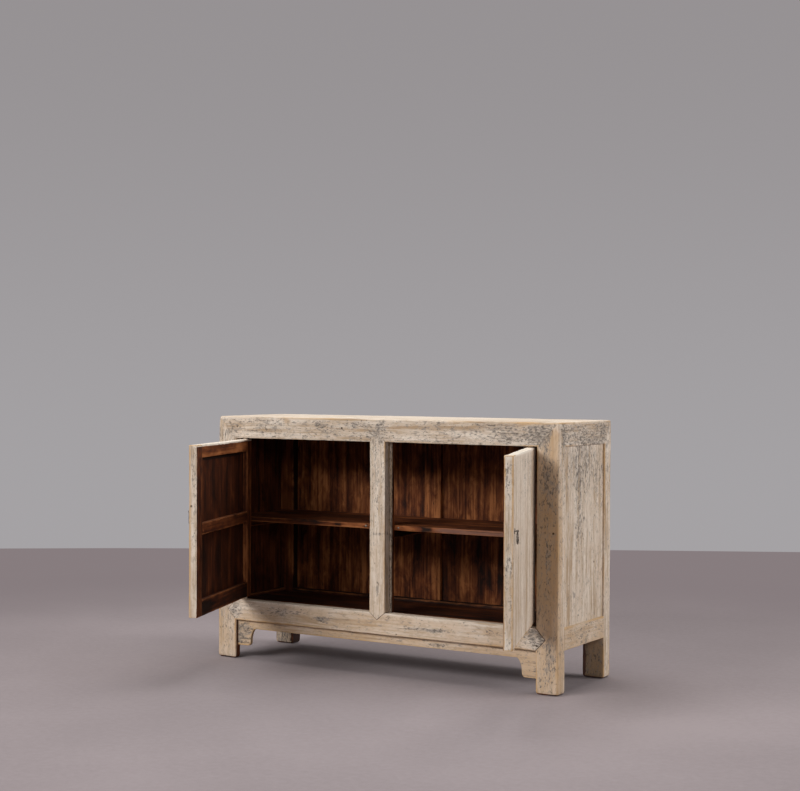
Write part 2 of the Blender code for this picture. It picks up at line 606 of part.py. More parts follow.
def make_door(pivot, hand, side):
    """A framed door about its pivot axis, flush outside and panelled inside; hand 1 runs to +X from the pivot."""
    face = DOOR_THICKNESS / 2
    left, right = HINGE_EDGE + DOOR_STILE, FREE_EDGE - DOOR_STILE
    panel_low, panel_high = DOOR_BASE + DOOR_BOTTOM_RAIL, DOOR_TOP - DOOR_TOP_RAIL
    panel_back = DOOR_PANEL_THICKNESS - face
    tongue_y = (panel_back - face) / 2
    tongue = ((hand * (left - TONGUE_DEPTH), tongue_y - TONGUE_THICKNESS / 2, panel_low - TONGUE_DEPTH),
              (hand * (right + TONGUE_DEPTH), tongue_y + TONGUE_THICKNESS / 2, panel_high + TONGUE_DEPTH))
    batten_low = DOOR_BATTEN_HEIGHT - DOOR_BATTEN_WIDTH / 2
    batten_high = DOOR_BATTEN_HEIGHT + DOOR_BATTEN_WIDTH / 2
    rails = {
        "top_rail": (panel_high, DOOR_TOP, -face, TENON_THICKNESS / 2),
        "bottom_rail": (DOOR_BASE, panel_low, -face, TENON_THICKNESS / 2),
        "batten": (batten_low, batten_high, panel_back + FIT, face - STUB_SHOULDER / 2),
    }

    def rail_tenons(name):
        low, high, front, cheek = rails[name]
        edge = STUB_SHOULDER if name == "batten" else TENON_SHOULDER
        back = max(front + STUB_SHOULDER / 2, cheek - TENON_THICKNESS)
        return [((hand * (x - STUB_LENGTH), back, low + edge), (hand * (x + STUB_LENGTH), cheek, high - edge))
                for x in (left, right)]

    mortises = [[rail_tenons(name)[index] for name in rails] for index in (0, 1)]
    pins = [cylinder((0.0, 0.0), 2, PIVOT_RADIUS, SILL_Z - PIVOT_LENGTH, DOOR_BASE + TENON_LENGTH),
            cylinder((0.0, 0.0), 2, PIVOT_RADIUS, DOOR_TOP - TENON_LENGTH, RAIL_Z + PIVOT_LENGTH)]
    piece(f"{side}_door_hinge_stile", BLEACHED_WOOD, pivot,
          prism(hinge_stile_outline(hand), 2, DOOR_BASE, DOOR_TOP), joined=pins,
          cuts=[block(*grown(tongue))] + [block(*grown(box)) for box in mortises[0]])
    piece(f"{side}_door_free_stile", BLEACHED_WOOD, pivot,
          block((hand * right, -face, DOOR_BASE), (hand * FREE_EDGE, face, DOOR_TOP)),
          cuts=[block(*grown(tongue))] + [block(*grown(box)) for box in mortises[1]])
    for name, (low, high, front, cheek) in rails.items():
        bar = block((hand * (left + FIT), front, low), (hand * (right - FIT), face, high))
        cuts = [] if name == "batten" else [block(*grown(tongue))]
        piece(f"{side}_door_{name}", BLEACHED_WOOD, pivot, bar,
              joined=[block(*box) for box in rail_tenons(name)], cuts=cuts)
    seam = (left + right) / 2
    for upper, place, start, stop in ((False, "hinge_side", left + FIT, seam - FIT / 2),
                                      (True, "free_side", seam + FIT / 2, right - FIT)):
        board = block((hand * start, -face, panel_low + FIT), (hand * stop, panel_back, panel_high - FIT))
        edge = split_tongue(tongue, 0, hand * seam, upper == (hand > 0))
        piece(f"{side}_door_board_{place}", BLEACHED_WOOD, pivot, board, joined=[edge])


def drop_curve(name):
    """An oval wire ring hanging from the origin, in the plane of the door, thicker towards its lower end."""
    curve = bpy.data.curves.new(name, "CURVE")
    curve.dimensions = "3D"
    curve.bevel_depth = DROP_WIRE
    curve.bevel_resolution = 1
    spline = curve.splines.new("POLY")
    spline.points.add(ROUND_SEGMENTS - 1)
    spline.use_cyclic_u = True
    for index, point in enumerate(spline.points):
        turn = 2 * math.pi * index / ROUND_SEGMENTS
        fall = (1.0 - math.cos(turn)) / 2
        point.co = (DROP_WIDTH / 2 * math.sin(turn), 0.0, -DROP_LENGTH * fall, 1.0)
        point.radius = 1.0 + DROP_SWELL / DROP_WIRE * fall
    return curve


def make_pull(pivot, hand, side):
    """A staple with a small round plate on the door's face, and the ring that swings in its eye."""
    face = -DOOR_THICKNESS / 2
    place = Vector((hand * (FREE_EDGE - PULL_INSET), face - PULL_STAND_OFF, PULL_HEIGHT))
    seat = PULL_STAND_OFF - FIT
    plate = cylinder((0.0, 0.0), 1, PULL_PLATE_RADIUS, seat - PULL_PLATE_THICKNESS, seat)
    shank = cylinder((0.0, 0.0), 1, SHANK_RADIUS, EYE_RADIUS, seat - PULL_PLATE_THICKNESS / 2)
    staple = piece(f"{side}_pull_staple", DARK_IRON, pivot, wire_ring(EYE_RADIUS, EYE_WIRE), joined=[shank, plate])
    staple.location = place
    drop = bpy.data.objects.new(f"{side}_pull_drop", drop_curve(f"{side}_pull_drop"))
    bpy.context.scene.collection.objects.link(drop)
    drop.data.materials.append(finish_material(drop.name, DARK_IRON))
    drop.parent = pivot
    drop.location = place


def stand_on_origin(root):
    """Move the parent empty so that the box of the whole sideboard is centred over the origin."""
    graph = bpy.context.evaluated_depsgraph_get()
    corners = []
    for item in bpy.context.scene.objects:
        if item.type in ("MESH", "CURVE"):
            mesh = item.evaluated_get(graph).to_mesh()
            corners += [item.matrix_world @ vert.co for vert in mesh.vertices]
            item.evaluated_get(graph).to_mesh_clear()
    for axis in (0, 1):
        values = [corner[axis] for corner in corners]
        root.location[axis] = -(min(values) + max(values)) / 2


def main():
    for item in list(bpy.data.objects):
        bpy.data.objects.remove(item)
    root = empty("sideboard", (0.0, 0.0, 0.0), 0.0, None)
    make_legs(root)
    make_top_frame(root)
    make_lower_rails(root)
    make_centre_stile(root)
    make_apron(root)
    make_panels(root)
    make_floor(root)
    make_bearers(root)
    make_shelf(root)
    for side, hand, angle in (("left", 1, LEFT_DOOR_ANGLE), ("right", -1, RIGHT_DOOR_ANGLE)):
        pivot = empty(f"{side}_door_pivot", (-hand * PIVOT_X, PIVOT_Y, 0.0), -hand * angle, root)
        make_door(pivot, hand, side)
        make_pull(pivot, hand, side)
    stand_on_origin(root)


main()
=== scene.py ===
import json
import math

import bpy
import numpy as np
from mathutils import Matrix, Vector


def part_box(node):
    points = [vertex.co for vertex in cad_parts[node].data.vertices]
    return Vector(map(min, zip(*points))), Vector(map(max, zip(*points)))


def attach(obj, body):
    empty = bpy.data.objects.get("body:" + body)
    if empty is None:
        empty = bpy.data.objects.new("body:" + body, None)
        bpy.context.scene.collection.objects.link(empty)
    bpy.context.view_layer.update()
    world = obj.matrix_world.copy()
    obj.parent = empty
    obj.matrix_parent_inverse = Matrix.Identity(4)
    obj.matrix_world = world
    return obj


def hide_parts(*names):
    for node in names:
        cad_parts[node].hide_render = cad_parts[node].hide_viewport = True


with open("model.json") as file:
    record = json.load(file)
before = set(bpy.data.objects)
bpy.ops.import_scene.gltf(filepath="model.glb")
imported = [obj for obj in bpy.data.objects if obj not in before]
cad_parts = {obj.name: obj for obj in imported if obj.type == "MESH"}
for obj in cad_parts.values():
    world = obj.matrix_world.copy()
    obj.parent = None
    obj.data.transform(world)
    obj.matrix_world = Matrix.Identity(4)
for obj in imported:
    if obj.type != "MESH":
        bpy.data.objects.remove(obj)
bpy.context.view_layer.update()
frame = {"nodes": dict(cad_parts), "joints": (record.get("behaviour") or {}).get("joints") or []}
print("frame loaded:", len(frame["nodes"]), "nodes")


# Measures that the pieces share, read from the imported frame

def boxOf(node):
    low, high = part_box(node)
    return np.array(low), np.array(high)


legLow, legHigh = boxOf("leg_front_left")
farLow, farHigh = boxOf("leg_rear_right")
railLow, railHigh = boxOf("top_rail_front")
sillLow, sillHigh = boxOf("lower_rail_front")
stileLow, stileHigh = boxOf("centre_stile")
postLow, postHigh = boxOf("back_post")
sideX = (legLow[0], farHigh[0])  # outer faces of the carcass
openX = (legHigh[0], farLow[0])  # inner faces of the legs
midX = (sideX[0] + sideX[1]) / 2
frontY, frontInnerY = legLow[1], legHigh[1]
rearInnerY, rearY = farLow[1], farHigh[1]
midY = (frontY + rearY) / 2
railZ, topZ = railLow[2], railHigh[2]
sillBase, sillZ = sillLow[2], sillHigh[2]
# name, outer face and inner face of what lies left and right, front and rear
flanks = (("left", sideX[0], openX[0]), ("right", sideX[1], openX[1]))
depths = (("front", frontY, frontInnerY), ("rear", rearY, rearInnerY))
boardRuns = (("front", frontInnerY, midY), ("rear", midY, rearInnerY))  # boards that meet in the middle
hands = {"left": 1, "right": -1}  # the way each door runs from its pivot along X when it is closed


# Noise and eased steps on whole arrays

def smooth(value, start, stop):
    t = np.clip((value - start) / (stop - start), 0.0, 1.0)
    return t * t * (3 - 2 * t)


hashFactors = np.array((374761393, 668265263, 1440662683))  # large numbers that scatter the lattice's values


def latticeNoise(points, seed):
    # value noise from -1 to 1: each corner of a unit lattice has a fixed random value, and a point blends
    # the eight corners round it by the smooth step 3t^2 - 2t^3
    cell = np.floor(points).astype(np.int64)
    part = points - cell
    part = part * part * (3 - 2 * part)
    total = np.zeros(points.shape[:-1])
    for corner in range(8):
        step = np.array([corner & 1, corner >> 1 & 1, corner >> 2 & 1])
        key = cell + step
        mixed = (key @ hashFactors + seed * 97931) & 0xFFFFFFFF
        mixed = ((mixed ^ (mixed >> 13)) * 1274126177) & 0xFFFFFFFF
        mixed = (mixed ^ (mixed >> 16)) & 0xFFFF
        total += mixed / 65535.0 * np.prod(np.where(step, part, 1 - part), axis=-1)
    return 2 * total - 1


def layeredNoise(points, layers):
    # noises added up, each with its weight, scale and seed
    return sum(weight * latticeNoise(points * scale, seed) for weight, scale, seed in layers)


# Grids into meshes

def gridFaces(rings, around, joined):
    # quads between neighbouring rings, each ring closed on itself; a fan of triangles to a pole closes each
    # end, or the last ring joins the first
    ring = np.arange(rings if joined else rings - 1)[:, None]
    step = np.arange(around)[None, :]
    after, above = (step + 1) % around, (ring + 1) % rings
    ring, above = ring * around, above * around
    quads = np.stack([ring + step, ring + after, above + after, above + step], -1).reshape(-1, 4)
    if joined:
        return quads, np.zeros((0, 3), int)
    pole, top = rings * around, (rings - 1) * around
    turn, turned = step[0], after[0]
    low = np.stack([np.full(around, pole), turned, turn], -1)
    high = np.stack([np.full(around, pole + 1), turn + top, turned + top], -1)
    return quads, np.concatenate([low, high])


def gridPart(points, values, joined=False):
    # a grid's points and per-point values as flat arrays, with a pole at the mean of each end ring
    def flat(array):
        rows = array.reshape(-1, 3)
        return rows if joined else np.concatenate([rows, array[[0, -1]].mean(1)])

    quads, fans = gridFaces(points.shape[0], points.shape[1], joined)
    return {"points": flat(points), "quads": quads, "fans": fans, **{k: flat(v) for k, v in values.items()}}


finishFields = ("grain", "wear", "tone")  # what the finishes read at each point


def plainPart(points, joined=False):
    return gridPart(points, dict.fromkeys(finishFields, points), joined)


def newObject(name, data):
    made = bpy.data.objects.new(name, data)
    bpy.context.scene.collection.objects.link(made)
    return made


def buildPiece(name, parts, material, body, nodes=()):
    offsets = np.cumsum([0] + [len(part["points"]) for part in parts])

    def together(key, shifted=False):
        return np.concatenate([part[key] + shifted * start for part, start in zip(parts, offsets)])

    quads, fans, points = together("quads", True), together("fans", True), together("points")
    corners = np.concatenate([quads.ravel(), fans.ravel()]).astype(np.int32)
    starts = np.concatenate([np.arange(len(quads)) * 4, quads.size + np.arange(len(fans)) * 3])
    mesh = bpy.data.meshes.new(name)
    mesh.vertices.add(len(points))
    mesh.vertices.foreach_set("co", points.astype(np.float32).ravel())
    mesh.loops.add(len(corners))
    mesh.loops.foreach_set("vertex_index", corners)
    mesh.polygons.add(len(starts))
    mesh.polygons.foreach_set("loop_start", starts.astype(np.int32))
    mesh.polygons.foreach_set("use_smooth", np.ones(len(starts), bool))
    for key in finishFields:
        layer = mesh.attributes.new(key, "FLOAT_VECTOR", "POINT")
        layer.data.foreach_set("vector", together(key).astype(np.float32).ravel())
    mesh.update()
    mesh.validate()
    mesh.materials.append(material)
    piece = newObject(name, mesh)
    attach(piece, body)
    if nodes:
        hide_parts(*nodes)


# Worn boards

barLook = {
    "arris": 0.003,        # radius of a worn arris
    "mean": 0.75,          # share of it about which the radius wanders
    "flush": 0.0007,       # radius where a board meets its neighbour flush
    "radius": (0.0002, 0.45),  # least radius of an arris, and greatest share of a board's half
    "chip": 0.009,         # how far the deepest chips widen an arris
    "chipFrom": 0.45,      # noise above which an arris is chipped
    "chipClear": (0.004, 0.03),  # distance from the ends over which chips begin
    "wornEnd": 0.001,      # rounding above which the arris of an end counts as worn
    "dirt": (0.0026, 0.001),  # how far the dirt of a joint comes out
    "swell": 0.0007,       # how far a face rises and dips
    # weight, scale and seed of the noises along the arrises, in the chips and over the faces
    "wander": ((0.35, 14, 3), (0.2, 55, 4)),
    "nick": ((1, 38, 5),),
    "lift": ((0.6, 6, 7), (0.4, 21, 8), (0.15, 70, 9)),
    "cell": 0.009,         # grid spacing on the faces and along the length
    "arcSteps": 4,
    "endGaps": (0.0, 0.0003, 0.0008, 0.0016, 0.003, 0.005, 0.008),
    "capShares": (0.3, 0.62, 0.88),
}
cornerSigns = np.array([(1, 1), (-1, 1), (-1, -1), (1, -1)])
allCorners = [tuple(pair) for pair in cornerSigns]
farAway = 1.0  # stands for no arris near


def evenly(radius):
    return dict.fromkeys(allCorners, radius)


def sideLoop(spanA, spanB, cell):
    # one turn round a rounded rectangle: the corner that each point follows, its share of the flat run to
    # the next corner, and the angle that it faces; runs are closer near the corners by half a cosine
    corner, share, angle = [], [], []
    for index in range(4):
        arc = np.linspace(0, 1, barLook["arcSteps"] + 1)
        count = max(4, 2 * int(round((spanA if index % 2 == 0 else spanB) / cell / 2)))
        run = 0.5 - 0.5 * np.cos(np.pi * np.arange(1, count) / count)
        corner.append(np.full(arc.size + run.size, index))
        share.append(np.concatenate([np.zeros(arc.size), run]))
        angle.append((index + np.concatenate([arc, np.ones(run.size)])) * np.pi / 2)
    return np.concatenate(corner), np.concatenate(share), np.concatenate(angle)


def barStations(length, cell):
    gaps = np.array(barLook["endGaps"])
    count = max(2, int(round((length - 2 * gaps[-1]) / cell)))
    middle = np.linspace(gaps[-1], length - gaps[-1], count + 1)[1:-1]
    return np.concatenate([gaps, middle, (length - gaps)[::-1]])


def wornBar(axis, low, high, ends=(None, None), flush=(), radii=None, rounds=(0.0005, 0.0005), places=None,
            floorLine=None, chip=1.0, cell=barLook["cell"], bend=None, dirty=(0, 0), quiet=()):
    # a rounded rectangle carried along one axis. Its corner radius wanders along each arris with the noise
    # and its faces move along their normals. ends gives the end surfaces as functions of the cross section,
    # flush and quiet name the arrises that aren't worn and those that keep their finish
    low, high = np.array(low, float), np.array(high, float)
    axisA, axisB = (axis + 1) % 3, (axis + 2) % 3
    length = high[axis] - low[axis]
    body = barStations(length, cell) if places is None else places - low[axis]
    caps = np.array(barLook["capShares"])
    run = np.concatenate([np.zeros(caps.size), body, np.full(caps.size, length)])[:, None]
    scale = np.concatenate([caps, np.ones(body.size), caps[::-1]])[:, None]
    base = low[axisB] if floorLine is None else np.concatenate(
        [np.full(caps.size, floorLine[0]), floorLine, np.full(caps.size, floorLine[-1])])[:, None]
    halfA, halfB = (high[axisA] - low[axisA]) / 2, (high[axisB] - base) / 2
    centreA, centreB = (high[axisA] + low[axisA]) / 2, (high[axisB] + base) / 2
    corner, way, angle = sideLoop(2 * halfA, 2 * np.max(halfB), cell)
    after = (corner + 1) % 4
    isFlush = np.array([pair in flush for pair in allCorners])
    worn = np.array([(radii or {}).get(pair, barLook["arris"]) for pair in allCorners])
    worn = np.where(isFlush, barLook["flush"], worn)

    # radius of each arris at each ring
    spot = np.zeros((run.size, 4, 3))
    spot[..., axis] = low[axis] + run
    spot[..., axisA] = centreA + halfA * cornerSigns[:, 0]
    spot[..., axisB] = centreB + halfB * cornerSigns[:, 1]
    wander = barLook["mean"] + layeredNoise(spot, barLook["wander"])
    nick = np.clip(layeredNoise(spot, barLook["nick"]) - barLook["chipFrom"], 0, 1) ** 2
    nick = nick * barLook["chip"] * chip
    nick = nick * smooth(np.minimum(run, length - run), *barLook["chipClear"]) * ~isFlush
    least, share = barLook["radius"]
    radius = np.clip(worn * wander + nick, least, share * np.minimum(halfA, np.min(halfB)))

    # rounding of the two ends: the section draws in by a quarter circle
    inset = np.zeros_like(run)
    fromEnds = ((run, rounds[0]), (length - run, rounds[1]))
    for reach, rounded in fromEnds:
        short = np.clip(rounded - reach, 0, None)
        inset = np.maximum(inset, rounded - np.sqrt(np.clip(rounded ** 2 - short ** 2, 0, None)))

    def cornerPoint(index):
        r = radius[:, index]
        a = cornerSigns[index, 0] * (halfA - inset - r) + r * np.cos(angle)
        b = cornerSigns[index, 1] * (halfB - inset - r) + r * np.sin(angle)
        return a, b

    a0, b0 = cornerPoint(corner)
    a1, b1 = cornerPoint(after)
    a = ((1 - way) * a0 + way * a1) * scale
    b = ((1 - way) * b0 + way * b1) * scale
    flat = np.zeros(a.shape + (3,))
    flat[..., axisA], flat[..., axisB] = centreA + a, centreB + b
    starts = low[axis] if ends[0] is None else ends[0](flat[..., axisA], flat[..., axisB])
    stops = high[axis] if ends[1] is None else ends[1](flat[..., axisA], flat[..., axisB])
    flat[..., axis] = starts + (stops - starts) * run / length
    if bend:
        flat = bend(flat)

    # faces rise and dip along their normals, the same on boards that lie flush
    normal = np.zeros_like(flat)
    normal[..., axisA] = np.cos(angle) * (scale == 1)
    normal[..., axisB] = np.sin(angle) * (scale == 1)
    normal[..., axis] = np.where(scale == 1, 0, np.where(run > length / 2, 1, -1))
    lift = layeredNoise(flat, barLook["lift"])
    points = flat + normal * (lift * barLook["swell"] * (scale == 1))[..., None]

    # distance from the nearest worn arris
    span = np.where(corner % 2 == 0, 2 * halfA, 2 * halfB * np.ones_like(run))
    kept = farAway * (isFlush | np.array([pair in quiet for pair in allCorners]))
    gap = np.minimum(way * span + kept[corner], (1 - way) * span + kept[after])
    gap = np.where(way == 0, kept[corner], gap)
    for reach, rounded in fromEnds:
        gap = np.where(rounded > barLook["wornEnd"], np.minimum(gap, reach + (1 - scale) * halfA), gap)
    first, last = (amount * smooth(reach, *barLook["dirt"]) for amount, (reach, _) in zip(dirty, fromEnds))
    local = flat[..., (axis, axisA, axisB)]
    return {"points": points, "flat": flat, "gap": gap, "local": local, "dirt": np.maximum(first, last)}


def turnedBar(axis, centre, profile, around=24):
    # a surface of revolution: profile rows are (place along the axis, radius), swept round the axis
    axisA, axisB = (axis + 1) % 3, (axis + 2) % 3
    turn = 2 * np.pi * np.arange(around) / around
    profile = np.array(profile)
    points = np.zeros((len(profile), around, 3)) + np.array(centre, float)
    points[..., axis] += profile[:, :1]
    points[..., axisA] += profile[:, 1:] * np.cos(turn)
    points[..., axisB] += profile[:, 1:] * np.sin(turn)
    gap = np.full(points.shape[:2], farAway)
    local = points[..., (axis, axisA, axisB)]
    return {"points": points, "flat": points, "gap": gap, "local": local, "dirt": 0.0}


def sweptRing(path, radius, across, around=14):
    # a round wire along a closed flat path: circles of the given radii, square to the path
    ahead = np.roll(path, -1, 0) - np.roll(path, 1, 0)
    ahead /= np.linalg.norm(ahead, axis=1)[:, None]
    side = np.cross(across, ahead)
    turn = 2 * np.pi * np.arange(around)[:, None] / around
    ring = np.cos(turn) * side[:, None, :] + np.sin(turn) * np.array(across, float)
    return path[:, None, :] + radius[:, None, None] * ring


# What each board's finish is told: where it lies inside the cupboard, how much paint is left on it, how warm
# or light the wood is. Marks are placed on the carcass from its middle and the floor

# where the stain begins, from the sides, the front, the back and the top and under the top of the lower rail,
# and the border over which it sets in
cavitySet = {"side": 0.01, "front": 0.031, "back": 0.01, "top": 0.009, "floor": 0.02, "ease": (-0.001, 0.003)}
cavityLow = np.array((sideX[0] + cavitySet["side"], frontY + cavitySet["front"], sillZ - cavitySet["floor"]))
cavityHigh = np.array((sideX[1] - cavitySet["side"], rearY - cavitySet["back"], topZ - cavitySet["top"]))

# centre from the middle of the front at the floor, radii, then what it adds to paint, warmth and lightness:
# first the marks that run over from board to board, then those of one board, by the start of its name
sharedMarks = [
    ((0.612, 0, 0.818), (0.04, 0.03, 0.034), 0.52, -0.2, 0),
    ((0.52, 0, 0.822), (0.07, 0.05, 0.04), 0.28, -0.1, 0),
    ((0.4, 0, 0.84), (0.07, 0.05, 0.02), 0.14, 0.3, 0),
    ((0.198, 0, 0.826), (0.04, 0.05, 0.005), 0.1, 0.9, 0),
    ((0, 0, 0.8), (0.04, 0.05, 0.04), 0.28, -0.2, 0),
    ((-0.085, 0, 0.836), (0.12, 0.05, 0.016), 0.16, 0, 0),
    ((-0.1, 0, 0.8), (0.06, 0.05, 0.016), 0.16, -0.1, 0),
    ((-0.232, 0, 0.832), (0.03, 0.05, 0.012), 0.22, 0.6, 0),
    ((-0.374, 0, 0.846), (0.012, 0.05, 0.014), 0, 1, 0),
    ((-0.447, 0, 0.83), (0.06, 0.05, 0.026), 0.16, -0.1, 0),
    ((-0.615, 0, 0.828), (0.045, 0.05, 0.022), 0.12, 0.6, 0),
    ((-0.64, 0, 0.795), (0.05, 0.05, 0.024), 0.26, -0.2, 0),
    ((0.67, 0.035, 0.815), (0.02, 0.02, 0.05), 0.4, -0.4, 0),
    ((0.67, 0.345, 0.825), (0.03, 0.08, 0.04), 0.26, -0.2, 0),
    ((0.67, 0.17, 0.83), (0.03, 0.13, 0.03), 0.02, -0.2, 0),
    ((0.67, 0.19, 0.73), (0.03, 0.17, 0.1), 0.38, -0.2, 0),
    ((0.67, 0.17, 0.56), (0.03, 0.03, 0.13), 0.32, -0.1, 0),
    ((0.67, 0.3, 0.6), (0.03, 0.05, 0.16), 0.12, 0, 0),
    ((-0.67, 0.2, 0.72), (0.03, 0.16, 0.12), 0.3, -0.1, 0),
    ((-0.67, 0.33, 0.4), (0.03, 0.08, 0.16), 0.18, 0, 0),
    # paler top face: bleached wood, and partly a painted highlight of the light from above
    ((0, 0.2, 0.864), (2, 2, 0.009), -0.35, -0.65, 0),
]
carcassMarks = {
    "centre_stile": [
        ((0, 0, 0.66), (0.04, 0.05, 0.15), 0.16, -0.2, 0),
        ((0.005, 0, 0.475), (0.03, 0.05, 0.006), 0.5, 0, 0),
        ((0.003, 0, 0.295), (0.006, 0.05, 0.03), 0.85, 0, 0),
        ((0, 0, 0.3), (0.04, 0.05, 0.12), -0.1, 0.3, 0)],
    "lower_rail_front": [
        ((-0.226, 0, 0.169), (0.036, 0.05, 0.008), 0.8, 0, 0),
        ((0.2, 0, 0.17), (0.075, 0.05, 0.005), 0.9, 0, 0),
        ((-0.39, 0, 0.178), (0.07, 0.05, 0.012), 0.4, 0, 0),
        ((0.6, 0, 0.174), (0.05, 0.05, 0.05), 0.75, -0.3, 0),
        ((-0.6, 0, 0.174), (0.04, 0.05, 0.04), 0.42, -0.6, 0),
        ((0.43, 0, 0.18), (0.03, 0.05, 0.01), 0.4, 0.8, 0),
        # near-white top edge of the lower rail: bleached wood, and partly a painted highlight of the light
        # from above
        ((0, 0.01, 0.214), (2, 0.05, 0.007), -0.3, -1.2, 0)],
    "apron": [
        ((0.23, 0.02, 0.12), (0.05, 0.05, 0.01), 0.5, 0, 0),
        ((-0.57, 0.02, 0.095), (0.04, 0.05, 0.05), 0.5, 0.4, 0)],
    "leg_front_right": [
        ((0.64, 0, 0.11), (0.022, 0.05, 0.08), 0.42, 0.5, 0),
        ((0.661, 0, 0.818), (0.009, 0.02, 0.016), -0.9, 1, 0),
        ((0.655, 0, 0.775), (0.012, 0.02, 0.05), -0.5, 0.7, 0),
        ((0.634, 0, 0.69), (0.03, 0.03, 0.085), 0.42, 0, 0),
        ((0.634, 0, 0.42), (0.009, 0.03, 0.09), 0.34, 0, 0),
        # browner front of the leg: browner wood, and partly painted shade where the open right door shadows
        # it
        ((0.63, 0, 0.462), (0.06, 0.03, 0.308), 0.1, 1.5, 0, 2)],
    "leg_front_left": [((-0.632, 0, 0.1), (0.06, 0.05, 0.12), 0.04, 0, 0)],
    "lower_rail_rear": [((0, 0.36, 0.18), (2, 0.3, 0.3), 0, 0, -0.4, 4)],
    "lower_rail_left": [((-0.66, 0.2, 0.2), (0.05, 0.4, 0.05), 0, 0, -0.25, 4)],
    "lower_rail_right": [((0.67, 0.2, 0.178), (0.05, 0.14, 0.03), 0.24, 0.2, 0)],
    "shelf_board_front": [
        ((-0.018, 0.05, 0.494), (0.162, 0.012, 0.03), 0, 0, 0.47, 4),
        ((0.43, 0.05, 0.494), (0.248, 0.012, 0.03), 0, 0.9, 0.4, 4),
        # dark spot where a piece of the front edge is missing: painted shade in a notch that the board's
        # shape lacks
        ((0.163, 0.05, 0.494), (0.019, 0.012, 0.03), 0, 0, -0.5, 4),
        ((-0.445, 0.05, 0.494), (0.235, 0.012, 0.03), 0, 0.1, -0.12, 4),
        ((-0.192, 0.05, 0.494), (0.012, 0.012, 0.03), 0, 0, -0.5, 4)],
    # darker top of the back post: painted shade under the top rail
    "back_post": [((0, 0.37, 0.76), (0.08, 0.1, 0.11), 0, 0, -0.4, 4)],
    # darker back boards below the shelf: painted shade under it
    "back_board": [((0, 0.37, 0.32), (2, 1, 0.17), 0, 0, -0.12, 4)],
    "back_board_left": [
        ((-0.3, 0.37, 0.5), (1, 1, 1), 0, 0, -0.06, 4),
        ((-0.3, 0.37, 0.32), (1, 1, 0.17), 0, 0, 0.23, 4)],
    # darker back boards left of the post: painted shade where the open left door keeps the light out
    "back_board_left_inner": [((-0.1, 0.37, 0.34), (0.07, 0.1, 0.16), 0, 0, -0.08, 4)],
    # light line along the board's edge by the rear left leg: a painted highlight
    "back_board_left_outer": [((-0.59, 0.37, 0.5), (0.004, 0.05, 1), 0, 0, 0.35, 4)],
    "back_board_right": [((0.3, 0.37, 0.5), (1, 1, 1), 0, 0, 0.16, 4)],
    "side_board_left": [((-0.665, 0.2, 0.5), (0.012, 0.4, 0.6), 0, 0, 0.25, 4)],
    "leg_rear_right": [
        # browner, darker front of the rear right foot: browner wood, and partly painted shade under the
        # carcass
        ((0.62, 0.35, 0.05), (0.06, 0.008, 0.12), 0.18, 1.4, 0, 4),
        ((0.67, 0.375, 0.4), (0.02, 0.03, 0.5), 0, -0.35, 0, 4)],
    "leg_rear_left": [
        ((-0.6, 0.36, 0.5), (0.05, 0.03, 0.6), 0, 0, 0.2, 4),
        ((-0.6, 0.375, 0.06), (0.03, 0.05, 0.1), 0, 0, -0.3, 4),
        # near black inner face of the rear left leg: painted shade in the corner with the back boards
        ((-0.594, 0.38, 0.5), (0.005, 0.03, 0.6), 0, 0, -0.75, 4),
        ((-0.64, 0.35, 0.05), (0.05, 0.05, 0.09), 0.45, 0, 0)],
}


def addMarks(points, marks, origin):
    # each mark adds its weights times exp(-d^2), d being the distance from its centre in its own radii; a
    # last number raises d^2 to that power, for a mark with a firm edge
    total = np.zeros(points.shape[:-1] + (3,))
    for centre, radii, paint, warm, light, *power in marks:
        away = (((points - origin - np.array(centre)) / np.array(radii)) ** 2).sum(-1)
        total += np.exp(-away ** (power or [1])[0])[..., None] * np.array((paint, warm, light))
    return total


def carcassInside(points):
    # how deep a point lies in the stained cupboard, eased over the first millimetres
    return smooth(np.minimum(points - cavityLow, cavityHigh - points).min(-1), *cavitySet["ease"])


# paint left, warmth of the bleached wood, lightness of the stained wood, how bare the arrises are worn
woodTone = {
    "leg": (0.26, 0.25, 0.4, 0.25), "top_rail": (0.36, 0.06, 0.3, 0.12), "lower_rail": (0.2, 0.42, 0.4, 0.4),
    "centre_stile": (0.2, 0.1, 0.3, 0.3), "apron": (0.2, 0.45, 0.3, 0.5), "side_board": (0.2, 0.08, 0.3, 0.3),
    "top_board": (0.2, 0.02, 0.3, 0.1), "back_board": (0, 0, 0.48, 0.8), "back_post": (0, 0.2, 0.72, 0.8),
    "floor_board": (0, 0, 0.08, 0.5), "floor_bearer": (0, 0, 0.5, 0.8), "shelf_board": (0, 0.2, 0.36, 0.5),
    "shelf_bearer": (0, 0, 0.3, 0.8), "top_batten": (0, 0, 0.3, 0.8), "door_stop": (0.62, 0.4, 0.45, 0.0),
    "door_hinge_stile": (0.16, 0.1, 0.42, 0.7), "door_free_stile": (0.14, 0.04, 0.46, 0.7),
    "door_top_rail": (0.2, 0.05, 0.43, 0.5), "door_bottom_rail": (0.14, 0.12, 0.18, 0.5),
    "door_batten": (0, 0.3, 0.48, 0.5), "door_board": (0.15, 0.06, 0.31, 0.0),
}
brownNodes = ("back_", "floor_", "shelf_", "top_batten")
# heights between which the wood turns warmer towards the floor, by how much, and how far boards differ in
# lightness
toneSet = {"warmBelow": (0.3, 0.02), "warmth": 0.35, "spread": 0.1}


def toneOf(node):
    plain = node.replace("left_door", "door").replace("right_door", "door")
    return next(tone for start, tone in woodTone.items() if plain.startswith(start))


def marksOf(node):
    own = [mark for start, marks in carcassMarks.items() if node.startswith(start) for mark in marks]
    return own if node.startswith(brownNodes) else own + sharedMarks


def grainPlace(name):
    # a number and a place in the grain that are the name's own
    seed = sum(ord(letter) * (place + 1) for place, letter in enumerate(name))
    return seed, np.array([math.sin(seed) * 7.3, math.sin(seed * 1.7) * 3.1, math.sin(seed * 2.3) * 4.7])


